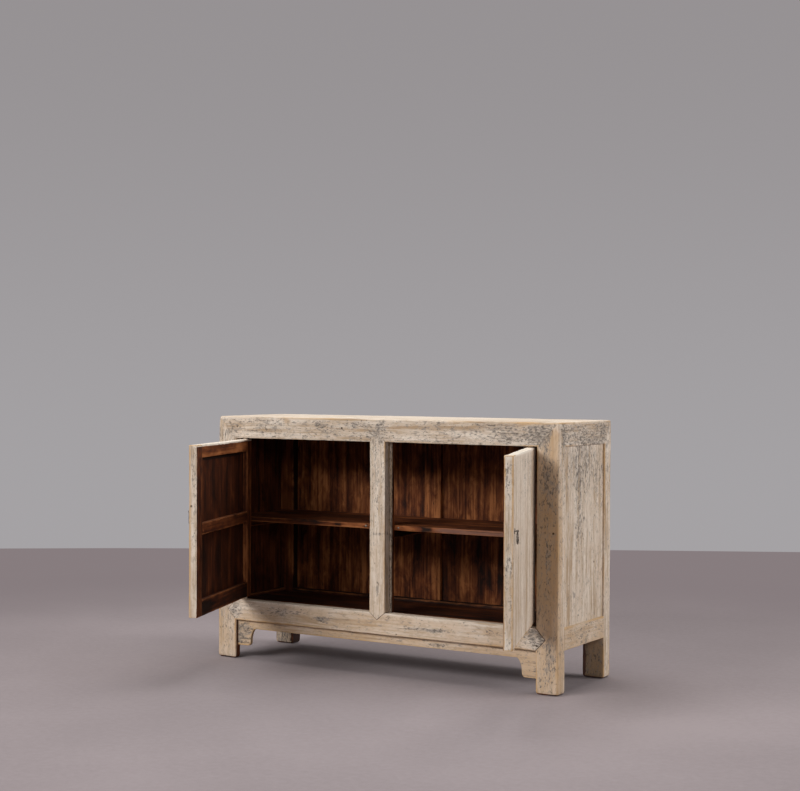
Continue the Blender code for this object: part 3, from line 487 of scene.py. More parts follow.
def shadeBar(node, bar, inside, marks, origin):
    # per-point values for the finishes: grain (along, across, depth, moved to a place of the board's own),
    # wear (gap to the arris, inside share, paint) and tone (warmth, lightness, how bare the arrises are)
    seed, shift = grainPlace(node)
    paint, warm, light, bare = toneOf(node)
    added = addMarks(bar["flat"], marks, origin)
    low = smooth(bar["flat"][..., 2], *toneSet["warmBelow"])
    inner = np.maximum(inside(bar["flat"]), bar["dirt"])
    wear = np.stack([bar["gap"], inner, paint + added[..., 0]], -1)
    warm = warm + toneSet["warmth"] * low + added[..., 1]
    light = light + toneSet["spread"] * math.sin(seed * 3.1) + added[..., 2]
    tone = np.stack([warm, light, np.full(low.shape, bare)], -1)
    return {"grain": bar["local"] + shift, "wear": wear, "tone": tone}


# Shader maths on sockets

class Wire:
    # one socket in a node tree; sums, products and the like of wires and numbers add Math nodes
    def __init__(self, tree, socket=None):
        self.tree, self.socket = tree, socket

    def node(self, kind, settings, sockets, out=0):
        made = self.tree.nodes.new(kind)
        for key, value in settings.items():
            if key == "stops":
                ramp = made.color_ramp
                while len(ramp.elements) < len(value):
                    ramp.elements.new(0.5)
                for element, (place, colour) in zip(ramp.elements, value):
                    element.position = place
                    element.color = (*colour, 1)
            else:
                setattr(made, key, value)
        for key, value in sockets.items():
            if isinstance(value, Wire):
                self.tree.links.new(value.socket, made.inputs[key])
            else:
                made.inputs[key].default_value = value
        return Wire(self.tree, made.outputs[out] if len(made.outputs) else None)

    def pick(self, name):
        return Wire(self.tree, self.socket.node.outputs[name])

    def maths(self, operation, *values):
        return self.node("ShaderNodeMath", {"operation": operation}, dict(enumerate(values)))

    def __add__(self, other):
        return self.maths("ADD", self, other)

    def __mul__(self, other):
        return self.maths("MULTIPLY", self, other)

    def __sub__(self, other):
        return self.maths("SUBTRACT", self, other)

    def __rsub__(self, other):
        return self.maths("SUBTRACT", other, self)

    __radd__, __rmul__ = __add__, __mul__

    def stretched(self, scale):
        return self.node("ShaderNodeVectorMath", {"operation": "MULTIPLY"}, {0: self, 1: scale})

    def cloud(self, along, across, detail, rough, twist=0.0):
        # noise drawn out along the first axis
        place = self.stretched((along, across, across))
        sockets = {"Vector": place, "Scale": 1.0, "Detail": detail, "Roughness": rough, "Distortion": twist}
        return self.node("ShaderNodeTexNoise", {"noise_dimensions": "3D"}, sockets, "Fac")

    def step(self, start, stop):
        sockets = {"Value": self, "From Min": start, "From Max": stop, "To Min": 0.0, "To Max": 1.0}
        return self.node("ShaderNodeMapRange", {"interpolation_type": "SMOOTHSTEP"}, sockets)

    def ramp(self, stops):
        return self.node("ShaderNodeValToRGB", {"stops": stops}, {0: self})

    def choose(self, first, second):
        # from one shader to another as this goes from 0 to 1
        return self.node("ShaderNodeMixShader", {}, {0: self, 1: first, 2: second})

    def tint(self, share, colour):
        # this colour turned towards another by a share
        other = colour if isinstance(colour, Wire) else (*colour, 1)
        return self.node("ShaderNodeMix", {"data_type": "RGBA"}, {0: share, 6: self, 7: other}, 2)


def newMaterial(name):
    material = bpy.data.materials.new(name)
    material.use_nodes = True
    material.node_tree.nodes.clear()
    return material, Wire(material.node_tree)


def surface(start, colour, roughness, height, distance, metallic=0.0, gloss=0.16):
    bump = {"Height": height, "Strength": 1.0, "Distance": distance}
    return start.node("ShaderNodeBsdfPrincipled", {}, {
        "Base Color": colour, "Roughness": roughness, "Metallic": metallic, "Specular IOR Level": gloss,
        "Normal": start.node("ShaderNodeBump", {}, bump, "Normal")})


def closeMaterial(start, *parts):
    start.node("ShaderNodeOutputMaterial", {}, {"Surface": surface(start, *parts)})


def fields(start):
    # what shadeBar left on the piece, as wires
    def read(name):
        return start.node("ShaderNodeAttribute", {"attribute_name": name}, {}, "Vector")

    gap, warm = (start.node("ShaderNodeSeparateXYZ", {}, {0: read(name)}, "X") for name in ("wear", "tone"))
    return {
        "grain": read("grain"), "gap": gap, "inside": gap.pick("Y"), "paint": gap.pick("Z"),
        "warm": warm, "light": warm.pick("Y"), "worn": warm.pick("Z"),
    }


bleachedSet = {
    "tan": (0.42, 0.295, 0.185), "cream": (0.6, 0.49, 0.385), "pale": (0.73, 0.635, 0.535),
    "warm": (0.53, 0.36, 0.215), "wash": (0.36, 0.32, 0.28), "greyPaint": (0.28, 0.24, 0.205),
    "darkPaint": (0.115, 0.096, 0.08), "crack": (0.06, 0.038, 0.024), "arris": (0.54, 0.335, 0.155),
    "spot": (0.41, 0.3, 0.2), "bleachAndHighlight": (0.8, 0.72, 0.62), "ochre": (0.335, 0.213, 0.113),
}


def bleachedWood(f):
    # bleached wood: pale streaks along the grain, then worn tan, then what is left of the grey paint in
    # specks stretched along the grain, then cracks and worm holes, and bare tan wood along the arrises
    c = bleachedSet
    grain = f["grain"]
    broad = grain.cloud(1.6, 22, 3, 0.55, 0.4)
    band = grain.cloud(3.4, 64, 3, 0.6)
    fibre = grain.cloud(9, 170, 3, 0.6)
    fine = grain.cloud(26, 560, 2, 0.6)
    blotch = grain.cloud(7, 11, 3, 0.6)
    mottle = grain.cloud(30, 62, 4, 0.65, 0.6)
    streak = 0.28 * broad + 0.27 * band + 0.25 * fibre + 0.08 * fine + 0.12 * mottle
    colour = streak.ramp([(0.42, c["tan"]), (0.49, c["cream"]), (0.56, c["pale"])])
    warmth = (f["warm"] + 1.5 * (blotch - 0.5) + 0.8 * (band - 0.5)).step(0.05, 0.95)
    colour = colour.tint(0.75 * warmth, c["warm"])
    colour = colour.tint(0.4 * grain.cloud(42, 90, 3, 0.62, 0.8).step(0.5, 0.64), c["spot"])
    # paler bleached wood where the warmth falls below nothing; on the top faces and top edges this is partly
    # a painted highlight
    colour = colour.tint((0.3 + band) * f["warm"].step(-0.25, -0.9), c["bleachAndHighlight"])
    # browner ochre wood where the warmth runs highest; on the front right leg and the rear right foot this is
    # partly painted shade
    colour = colour.tint(0.54 * f["warm"].step(1.0, 1.7), c["ochre"])

    cover = f["paint"] + 0.5 * (blotch - 0.5) + 0.8 * (mottle - 0.5)
    cover = cover.maths("MINIMUM", cover, 0.8)
    limit = 0.685 - 0.27 * cover
    speck = grain.cloud(54, 118, 4, 0.68, 0.5)
    greyed = speck.step(limit - 0.06, limit + 0.06)
    dark = grain.cloud(76, 160, 3, 0.64, 0.3)
    blacked = dark.step(limit, limit + 0.07) * cover.step(0.05, 0.4)
    colour = colour.tint(0.38 * cover.step(0.34, 0.8), c["wash"])
    colour = colour.tint(0.76 * greyed, c["greyPaint"])
    colour = colour.tint(0.74 * blacked, c["darkPaint"])

    split = grain.cloud(4.5, 330, 2, 0.5)
    crack = split.step(0.69, 0.74)
    cells = {"Vector": grain.stretched((27, 27, 27)), "Scale": 1.0}
    hole = grain.node("ShaderNodeTexVoronoi", {"feature": "F1"}, cells, "Distance")
    pick = grain.node("ShaderNodeSeparateColor", {}, {0: hole.pick("Color")}, 0)
    bored = hole.step(0.12, 0.07) * pick.step(0.86, 0.87)
    colour = colour.tint(crack.maths("MAXIMUM", 0.7 * crack, 0.9 * bored), c["crack"])

    ragged = grain.cloud(45, 120, 3, 0.6)
    stretch = grain.cloud(5, 5, 2, 0.5)
    exposed = (stretch + 0.35 * f["worn"]).step(0.45, 0.8)
    bare = (f["gap"] + 0.01 * (ragged - 0.5)).step(0.005, 0.0008) * exposed
    colour = colour.tint(0.85 * bare, c["arris"])

    roughness = 0.8 + 0.1 * (fibre - 0.5) - 0.12 * bare
    height = 0.5 * fibre + 0.35 * fine + 0.5 * greyed - 1.6 * crack - 2.5 * bored
    return colour, roughness, height


brownSet = {
    "deep": (0.011, 0.0032, 0.0015), "red": (0.06, 0.014, 0.004), "brown": (0.152, 0.043, 0.0122),
    "amber": (0.36, 0.13, 0.042), "arris": (0.3, 0.105, 0.034), "stain": (0.007, 0.003, 0.0018),
    "dust": (0.165, 0.09, 0.07),
}


def stainedWood(f):
    # stained wood inside: broad and fine streaks along the grain run from near black through red-brown to
    # amber, rubbed lighter in patches, with dust, dark knots and spills, and amber arrises
    c = brownSet
    grain = f["grain"]
    broad = grain.cloud(1.3, 26, 3, 0.6, 0.6)
    band = grain.cloud(3.0, 80, 3, 0.62, 0.3)
    fibre = grain.cloud(6, 190, 3, 0.62)
    fine = grain.cloud(22, 560, 2, 0.6)
    spill = grain.cloud(6, 14, 4, 0.62, 0.6)
    rub = grain.cloud(14, 34, 4, 0.66, 0.9)
    mix = 0.42 * broad + 0.32 * band + 0.18 * fibre + 0.08 * fine
    level = (1.6 + 2.2 * f["worn"]) * (mix - 0.5) + f["light"]
    level = level + 1.2 * (spill - 0.5) + 1.5 * f["worn"] * (rub - 0.5)
    colour = level.ramp([(0.05, c["deep"]), (0.36, c["red"]), (0.66, c["brown"]), (1.0, c["amber"])])
    colour = colour.tint(0.7 * f["warm"].step(0.45, 0.95), c["dust"])
    knot = grain.cloud(22, 60, 3, 0.6, 1.4).step(0.6, 0.68) * spill.step(0.52, 0.42)
    colour = colour.tint(0.75 * knot, c["stain"])
    split = grain.cloud(3.5, 300, 2, 0.5).step(0.66, 0.71)
    colour = colour.tint(0.7 * split, c["stain"])
    ragged = grain.cloud(40, 110, 3, 0.6)
    exposed = (spill + 0.2 * f["worn"]).step(0.48, 0.72)
    bare = (f["gap"] + 0.008 * (ragged - 0.5)).step(0.0045, 0.0006) * exposed
    colour = colour.tint(0.65 * bare, c["arris"])
    roughness = 0.66 + 0.25 * (spill - 0.5) + 0.1 * (fibre - 0.5)
    height = 0.5 * fibre + 0.3 * fine - 1.2 * split
    return colour, roughness, height


def makeBleached():
    # the outside finish, turning to the stained one where a board faces into the cupboard
    material, start = newMaterial("bleachedWood")
    f = fields(start)
    outer, outerRough, outerHeight = bleachedWood(f)
    inner, innerRough, innerHeight = stainedWood(f)
    edge = f["grain"].cloud(60, 160, 2, 0.6)
    share = (f["inside"] + 0.5 * (edge - 0.5)).step(0.35, 0.65)
    roughness = outerRough + share * (innerRough - outerRough)
    height = outerHeight + share * (innerHeight - outerHeight)
    closeMaterial(start, outer.tint(share, inner), roughness, height, 0.0006)
    return material


def makeBrown():
    material, start = newMaterial("brownWood")
    colour, roughness, height = stainedWood(fields(start))
    closeMaterial(start, colour, roughness, height, 0.0005)
    return material


ironSet = {"black": (0.05, 0.042, 0.036), "worn": (0.32, 0.285, 0.245), "rust": (0.12, 0.055, 0.03)}


def makeIron():
    # hand-forged iron: black scale, worn brighter in patches, with rust in the hollows
    material, start = newMaterial("darkIron")
    place = start.node("ShaderNodeTexCoord", {}, {}, "Object")
    hammer = place.cloud(260, 260, 3, 0.55)
    rust = place.cloud(420, 420, 4, 0.65)
    colour = hammer.ramp([(0.38, ironSet["black"]), (0.62, ironSet["worn"])])
    share = rust.step(0.52, 0.62)
    colour = colour.tint(0.6 * share, ironSet["rust"])
    closeMaterial(start, colour, 0.42 + 0.35 * share, hammer + 0.4 * rust, 0.0004, 0.85 - 0.6 * share, 0.5)
    return material


bleached, brown, iron = makeBleached(), makeBrown(), makeIron()
print("finishes made")


# Carcass

def pieceName(node):
    first, *rest = node.split("_")
    return first + "".join(word.capitalize() for word in rest)


def mitre(base, apex, innerA, outerA, innerB, outerB):
    # a mitred end: it rises from base to apex by the lesser of the two shares of the way to the outer faces
    def end(a, b):
        share = np.minimum((a - innerA) / (outerA - innerA), (b - innerB) / (outerB - innerB))
        return base + (apex - base) * np.clip(share, 0, 1)
    return end


def pointed(base, tip, middle, half, acrossFirst):
    # an end with a point in its front layer only: the reach falls off straight on both sides of the middle
    def end(a, b):
        across, depth = (a, b) if acrossFirst else (b, a)
        inFront = depth < frontY + frameSet["shoulder"]
        return base + (tip - base) * np.clip(1 - np.abs(across - middle) / half, 0, 1) * inFront
    return end


def carcassBoard(node, axis, low, high, inside=carcassInside, **shape):
    # None in a corner stands for the solid's own measure
    low, high = ([measure if value is None else value for value, measure in zip(given, solid)]
                 for given, solid in zip((low, high), boxOf(node)))
    bar = wornBar(axis, low, high, **shape)
    origin = np.array((midX, frontY, 0.0))
    parts = [gridPart(bar["points"], shadeBar(node, bar, inside, marksOf(node), origin))]
    finish, slot = (brown, "brown_wood") if node.startswith(brownNodes) else (bleached, "bleached_wood")
    buildPiece(pieceName(node), parts, finish, "carcass", [node])


asSolid = (None, None, None)  # a corner where the solid has it

frameSet = {
    "seam": 0.00015,       # half of the gap left at a mitre
    "mitreRound": 0.0003,  # rounding of a mitred end
    "foot": 0.012,         # rounding of the feet
    "legArris": 0.0055,    # outer arrises of legs and top
    "thinArris": 0.0016,   # arrises of the apron and of the boards inside
    "stopArris": 0.0015,
    "corner": 0.011,       # rounding of the front left top corner, twice that of the others
    "cornerRun": (4, 0.5),  # distances, in that rounding, between which it fades along the edge
    "railProud": 0.0007,   # how far the lower rail stands off the legs, and the stile off the rails
    "shoulder": 0.015,     # depth of the mitred points
    "stopPale": 0.006,     # how much of the stop lath is bleached, and the border of its stain
    "stopEase": 0.002,
    "tuck": 0.003,         # how far panels run into their grooves
    "web": 0.027,          # thickness left of a front foot, and width of what is cut away behind it
    "cut": 0.034,
    "cutEase": 0.003,      # half of the eased step beside the cut
    "cutBelow": (0.003, -0.004),  # heights from the rail between which the cut begins
    "stain": {"front": 0.0025, "rear": 0.01},  # how far the dark stain comes round a foot
    "stainEase": 0.002,    # width of its border
    "stainBelow": (0.004, -0.004),  # heights from the rail, then depths from the front, where it begins
    "stainBehind": (0.004, 0.01),
    "sole": (0.007, 0.003),  # heights between which the soles darken: dirt, and partly painted contact shadow at the floor
    "legCell": 0.007,      # grid spacings finer than the usual one
    "shelfCell": {"front": 0.004, "rear": barLook["cell"]},
}
pointShape = {"cell": 0.004, "rounds": (0.001, 0.001)}  # grid and end rounding of boards with mitred points


def softened(points):
    # the top corners are worn round: near a corner each pair of outer faces meets in a quarter circle, whose
    # radius falls to nothing along the edge
    left, front = points[..., 0] < midX, points[..., 1] < midY
    reach = np.where(left & front, 1.0, 0.5) * frameSet["corner"]
    faces = np.stack([np.where(left, *sideX), np.where(front, frontY, rearY), np.full(left.shape, topZ)], -1)
    signs = np.stack([np.where(left, 1, -1), np.where(front, 1, -1), np.full(left.shape, -1)], -1)
    deep = (points - faces) * signs
    for first, second, along in ((0, 2, 1), (0, 1, 2), (1, 2, 0)):
        radius = reach * smooth(deep[..., along], *(times * reach for times in frameSet["cornerRun"]))
        u = np.clip(radius - deep[..., first], 0, None)
        v = np.clip(radius - deep[..., second], 0, None)
        excess = np.maximum(np.hypot(u, v) / np.maximum(radius, 1e-6), 1)
        deep[..., first] += u - u / excess
        deep[..., second] += v - v / excess
    return faces + deep * signs


def makeLegs():
    cut, ease, web = frameSet["cut"], frameSet["cutEase"], frameSet["web"] / (frontInnerY - frontY)
    for hand, outer, inner in flanks:
        for place, outerY, innerY in depths:
            (left, right), (front, rear) = sorted((outer, inner)), sorted((outerY, innerY))
            top = mitre(railZ, topZ - frameSet["seam"], inner, outer, innerY, outerY)
            corner = (1 if outer > inner else -1, 1 if outerY > innerY else -1)

            def relieve(points, inner=inner, hand=corner[0]):
                # behind the foot the depth shrinks to the web, eased over a few millimetres
                across = smooth(hand * (points[..., 0] - inner), cut + ease, cut - ease)
                below = smooth(points[..., 2] - sillBase, *frameSet["cutBelow"])
                moved = points.copy()
                moved[..., 1] = frontY + (points[..., 1] - frontY) * (1 - (1 - web) * across * below)
                return softened(moved)

            def darkened(points, inner=inner, hand=corner[0], reach=frameSet["stain"][place]):
                # the faces that the feet turn to each other keep the dark stain, and the soles darken: dirt,
                # and partly painted contact shadow at the floor
                face = smooth(hand * (points[..., 0] - inner), reach, reach - frameSet["stainEase"])
                under = smooth(points[..., 2] - sillBase, *frameSet["stainBelow"])
                behind = smooth(points[..., 1] - frontY, *frameSet["stainBehind"])
                sole = smooth(points[..., 2], *frameSet["sole"])
                return np.maximum(np.maximum(carcassInside(points), face * under * behind), sole)

            carcassBoard(f"leg_{place}_{hand}", 2, (left, front, 0.0), (right, rear, topZ), darkened,
                         ends=(None, top), radii={corner: frameSet["legArris"]},
                         rounds=(frameSet["foot"], frameSet["mitreRound"]), cell=frameSet["legCell"],
                         bend=relieve if place == "front" else softened)


def makeTopFrame():
    seam, arris = frameSet["seam"], frameSet["legArris"]
    shape = {"rounds": (frameSet["mitreRound"], frameSet["mitreRound"]), "bend": softened}
    for place, outerY, innerY in depths:
        ends = [mitre(openX[i], sideX[i] + (seam, -seam)[i], innerY, outerY, railZ, topZ) for i in (0, 1)]
        out = 1 if outerY > innerY else -1
        first, last = sorted((outerY, innerY))
        carcassBoard(f"top_rail_{place}", 0, (sideX[0], first, railZ), (sideX[1], last, topZ), ends=ends,
                     flush=[(-out, 1)], radii={(out, 1): arris}, **shape)
    for hand, outer, inner in flanks:
        ends = [mitre(innerY, outerY, railZ, topZ, inner, outer)
                for outerY, innerY in ((frontY + seam, frontInnerY), (rearY - seam, rearInnerY))]
        out = 1 if outer > inner else -1
        first, last = sorted((outer, inner))
        carcassBoard(f"top_rail_{hand}", 1, (first, frontY, railZ), (last, rearY, topZ), ends=ends,
                     flush=[(1, -out)], radii={(1, out): arris}, **shape)


def makeLowerRails():
    face = frontY - frameSet["railProud"]
    middle, half = (sillBase + sillZ) / 2, (sillZ - sillBase) / 2
    ends = [pointed(base, tip, middle, half, False) for base, tip in zip(openX, (sillLow[0], sillHigh[0]))]
    carcassBoard("lower_rail_front", 0, (openX[0], face, sillBase), (openX[1], frontInnerY, sillZ), ends=ends,
                 dirty=(1, 1), quiet=[(-1, 1)], **pointShape)
    carcassBoard("lower_rail_rear", 0, (openX[0], rearInnerY, sillBase), (openX[1], rearY, sillZ))
    for hand in hands:
        carcassBoard(f"lower_rail_{hand}", 1, (None, frontInnerY, None), (None, rearInnerY, None))


def makeStile():
    face = frontY - 2 * frameSet["railProud"]
    middle, half = (stileLow[0] + stileHigh[0]) / 2, (stileHigh[0] - stileLow[0]) / 2
    tips = zip((sillZ, railZ), (stileLow[2], stileHigh[2]))
    ends = [pointed(base, tip, middle, half, True) for base, tip in tips]
    carcassBoard("centre_stile", 2, (None, face, sillZ), (None, None, railZ), ends=ends, dirty=(1, 0),
                 **pointShape)
    edge = boxOf("door_stop")[0][1] + frameSet["stopPale"]
    carcassBoard("door_stop", 2, asSolid, asSolid,
                 lambda points: smooth(points[..., 1], edge, edge + frameSet["stopEase"]),
                 radii=evenly(frameSet["stopArris"]))


apronSet = {"base": 0.108, "foot": 0.044, "nose": 0.012, "width": 0.078, "steps": 14}


def makeApron():
    # the lower edge, from the leg inwards: a flat foot, a quarter circle for its nose, a quarter ellipse for
    # the cove, and the straight run; the left half mirrors the right
    low, high = boxOf("apron")
    nose, base = apronSet["nose"], apronSet["base"]
    turn = np.linspace(0, np.pi / 2, apronSet["steps"])
    heel = high[0] - apronSet["foot"]
    noseX, noseZ = heel - nose * np.sin(turn), low[2] + nose * (1 - np.cos(turn))
    endX = high[0] - apronSet["width"]
    coveX = endX + (noseX[-1] - endX) * np.cos(turn[1:])
    coveZ = noseZ[-1] + (base - noseZ[-1]) * np.sin(turn[1:])
    footX = high[0] - np.array(barLook["endGaps"])
    halfX = np.concatenate([footX, np.linspace(footX[-1], heel, 5)[1:-1], noseX, coveX])
    halfZ = np.concatenate([np.full(footX.size + 3, low[2]), noseZ, coveZ])
    count = int((endX - (2 * midX - endX)) / barLook["cell"])
    runX = np.linspace(2 * midX - endX, endX, count)[1:-1]
    places = np.concatenate([2 * midX - halfX, runX, halfX[::-1]])
    floorLine = np.concatenate([halfZ, np.full(runX.size, base), halfZ[::-1]])
    carcassBoard("apron", 0, low, high, places=places, floorLine=floorLine,
                 radii=evenly(frameSet["thinArris"]), chip=0.4)


def makePanels():
    tuck = frameSet["tuck"]
    base, head = sillZ - tuck, railZ + tuck
    for (hand, _, inner), post in zip(flanks, (postLow, postHigh)):
        for place, first, last in boardRuns:
            first, last = first - tuck * (place == "front"), last + tuck * (place == "rear")
            carcassBoard(f"side_board_{hand}_{place}", 2, (None, first, base), (None, last, head),
                         flush=allCorners)
        edge, start = inner - hands[hand] * tuck, post[0] + hands[hand] * tuck
        seam = (edge + start) / 2
        for place, *run in (("inner", start, seam), ("outer", seam, edge)):
            first, last = sorted(run)
            carcassBoard(f"back_board_{hand}_{place}", 2, (first, None, base), (last, None, head),
                         flush=allCorners)
    for place, first, last in boardRuns:
        carcassBoard(f"top_board_{place}", 0, (openX[0], first, None), (openX[1], last, None),
                     flush=allCorners)
    carcassBoard("back_post", 2, (None, None, sillZ), (None, None, railZ))


def makeInside():
    thin = evenly(frameSet["thinArris"])
    left, right = boxOf("lower_rail_left")[1][0], boxOf("lower_rail_right")[0][0]
    for place, first, last in boardRuns:
        carcassBoard(f"floor_board_{place}", 0, (left, first, None), (right, last, None), flush=allCorners)
        meets = 1 if place == "front" else -1  # the side that meets the other board
        carcassBoard(f"shelf_board_{place}", 0, asSolid, asSolid, radii=thin, chip=0.5,
                     flush=[(meets, 1), (meets, -1)], cell=frameSet["shelfCell"][place])
    fromLegs = (None, frontInnerY, None), (None, rearInnerY, None)
    for place in ("left", "centre", "right"):
        for kind in ("floor_bearer", "top_batten"):
            carcassBoard(f"{kind}_{place}", 1, *fromLegs, radii=thin)
        carcassBoard(f"shelf_bearer_{place}", 1, asSolid, asSolid, radii=thin)


# places along the front edge of the shelf from the middle of the front, radius, rise and root of the heads
nailSet = {"places": (-0.078, 0.052), "radius": 0.0042, "rise": 0.0012, "root": 0.002, "around": 16}


def makeNails():
    # low domes: each ring of the head lies on a quarter ellipse
    shelfLow, shelfHigh = boxOf("shelf_board_front")
    bend = np.linspace(0.12, 1, 6) * np.pi / 2
    profile = [(-nailSet["rise"] * math.cos(t), nailSet["radius"] * math.sin(t)) for t in bend]
    profile.append((nailSet["root"], nailSet["radius"]))
    level = (shelfLow[2] + shelfHigh[2]) / 2
    centres = [(midX + x, shelfLow[1], level) for x in nailSet["places"]]
    heads = [plainPart(turnedBar(1, centre, profile, nailSet["around"])["points"]) for centre in centres]
    buildPiece("shelfNails", heads, iron, "carcass")


for make in (makeLegs, makeTopFrame, makeLowerRails, makeStile, makeApron, makePanels, makeInside, makeNails):
    make()
print("carcass dressed")


# Doors: every piece is made where it lies with the door shut, then turned with the door about its pivot

def turnZ(points, pivot, angle):
    x, y, z = np.moveaxis(points - pivot, -1, 0)
    c, s = math.cos(angle), math.sin(angle)
    return np.stack([c * x - s * y, s * x + c * y, z], -1) + pivot


def jointNamed(name):
    return next(joint for joint in frame["joints"] if joint["name"] == name)


def doorTurn(side):
    # the turn about +Z that shuts the door: its joint's lower limit is the shut door
    joint = jointNamed(side + "_door_hinge")
    return np.array(joint["pos_m"]), joint["axis"][2] * math.radians(joint["range_deg"][0])


def shutBox(node, side):
    pivot, closing = doorTurn(side)
    mesh = frame["nodes"][node].data
    points = np.empty(len(mesh.vertices) * 3)
    mesh.vertices.foreach_get("co", points)
    points = turnZ(points.reshape(-1, 3), pivot, closing)
    return points.min(0), points.max(0)


# place from the hinge edge, the outer face and the floor, radii, then paint, warmth and lightness
doorMarks = {
    "left": [
        ((0.558, 0.012, 0.69), (0.02, 0.03, 0.1), 0.36, -0.3, 0),
        ((0.558, 0.01, 0.5), (0.02, 0.03, 0.1), 0.22, -0.1, 0),
        ((0.25, 0, 0.65), (0.2, 0.01, 0.12), 0.15, 0, 0),
        ((0.3, 0.028, 0.748), (0.24, 0.01, 0.012), 0, 0, 0.22),
        ((0.56, -0.001, 0.5), (0.006, 0.009, 0.8), -0.4, 0.95, 0, 4),
        ((0.535, 0.028, 0.758), (0.03, 0.01, 0.024), 0, 0, 0.1, 4)],
    "right": [
        ((0.558, 0.014, 0.47), (0.02, 0.03, 0.04), 0.5, -0.4, 0),
        ((0.558, 0.014, 0.705), (0.02, 0.03, 0.075), 0.36, -0.3, 0),
        ((0.558, 0.014, 0.345), (0.02, 0.03, 0.08), 0.22, 0.2, 0),
        ((0.558, 0.014, 0.235), (0.02, 0.03, 0.03), 0.3, -0.6, 0),
        ((0.524, 0, 0.5), (0.005, 0.01, 0.022), 0.1, 1, 0),
        ((0.558, 0.014, 0.48), (0.006, 0.03, 0.4), 0, -0.4, 0, 4),
        ((0.2, 0, 0.72), (0.16, 0.01, 0.07), 0.26, -0.2, 0)],
}
doorSet = {
    "hingeRound": 0.006, "innerArris": 0.0018, "edgeArris": 0.0026, "topArris": 0.0045, "endRound": 0.0015,
    "topEdge": 0.007,    # how much of the top edge is bleached, and the border of the stain there
    "topEase": 0.0015,
    "stain": (0.0022, 0.0008),  # depths from the inner face between which the stain begins
    "margin": 0.0015,    # how far the stain runs out over the frame's inner edges, and its border
    "ease": 0.0012,
    "panelDeep": 0.003,  # how far it runs into the panel
    "overlap": 0.004,    # depth of the outside, where the boards' grain runs on over the rails
    "pinRadius": 0.008, "pinReach": 0.01, "pinRoot": 0.02, "pegInset": 0.013, "pegRadius": 0.0042,
    "pegRise": 0.3,      # share of the batten's height at which the peg sits
    # distance from the pin's end and rise of the peg's head, each with a share of the radius
    "pinEnd": ((0, 0.4), (0, 0.9), (0.001, 1)),
    "pegHead": ((-0.001, 1), (0.0002, 1), (0.0008, 0.8), (0.0011, 0.3)),
}


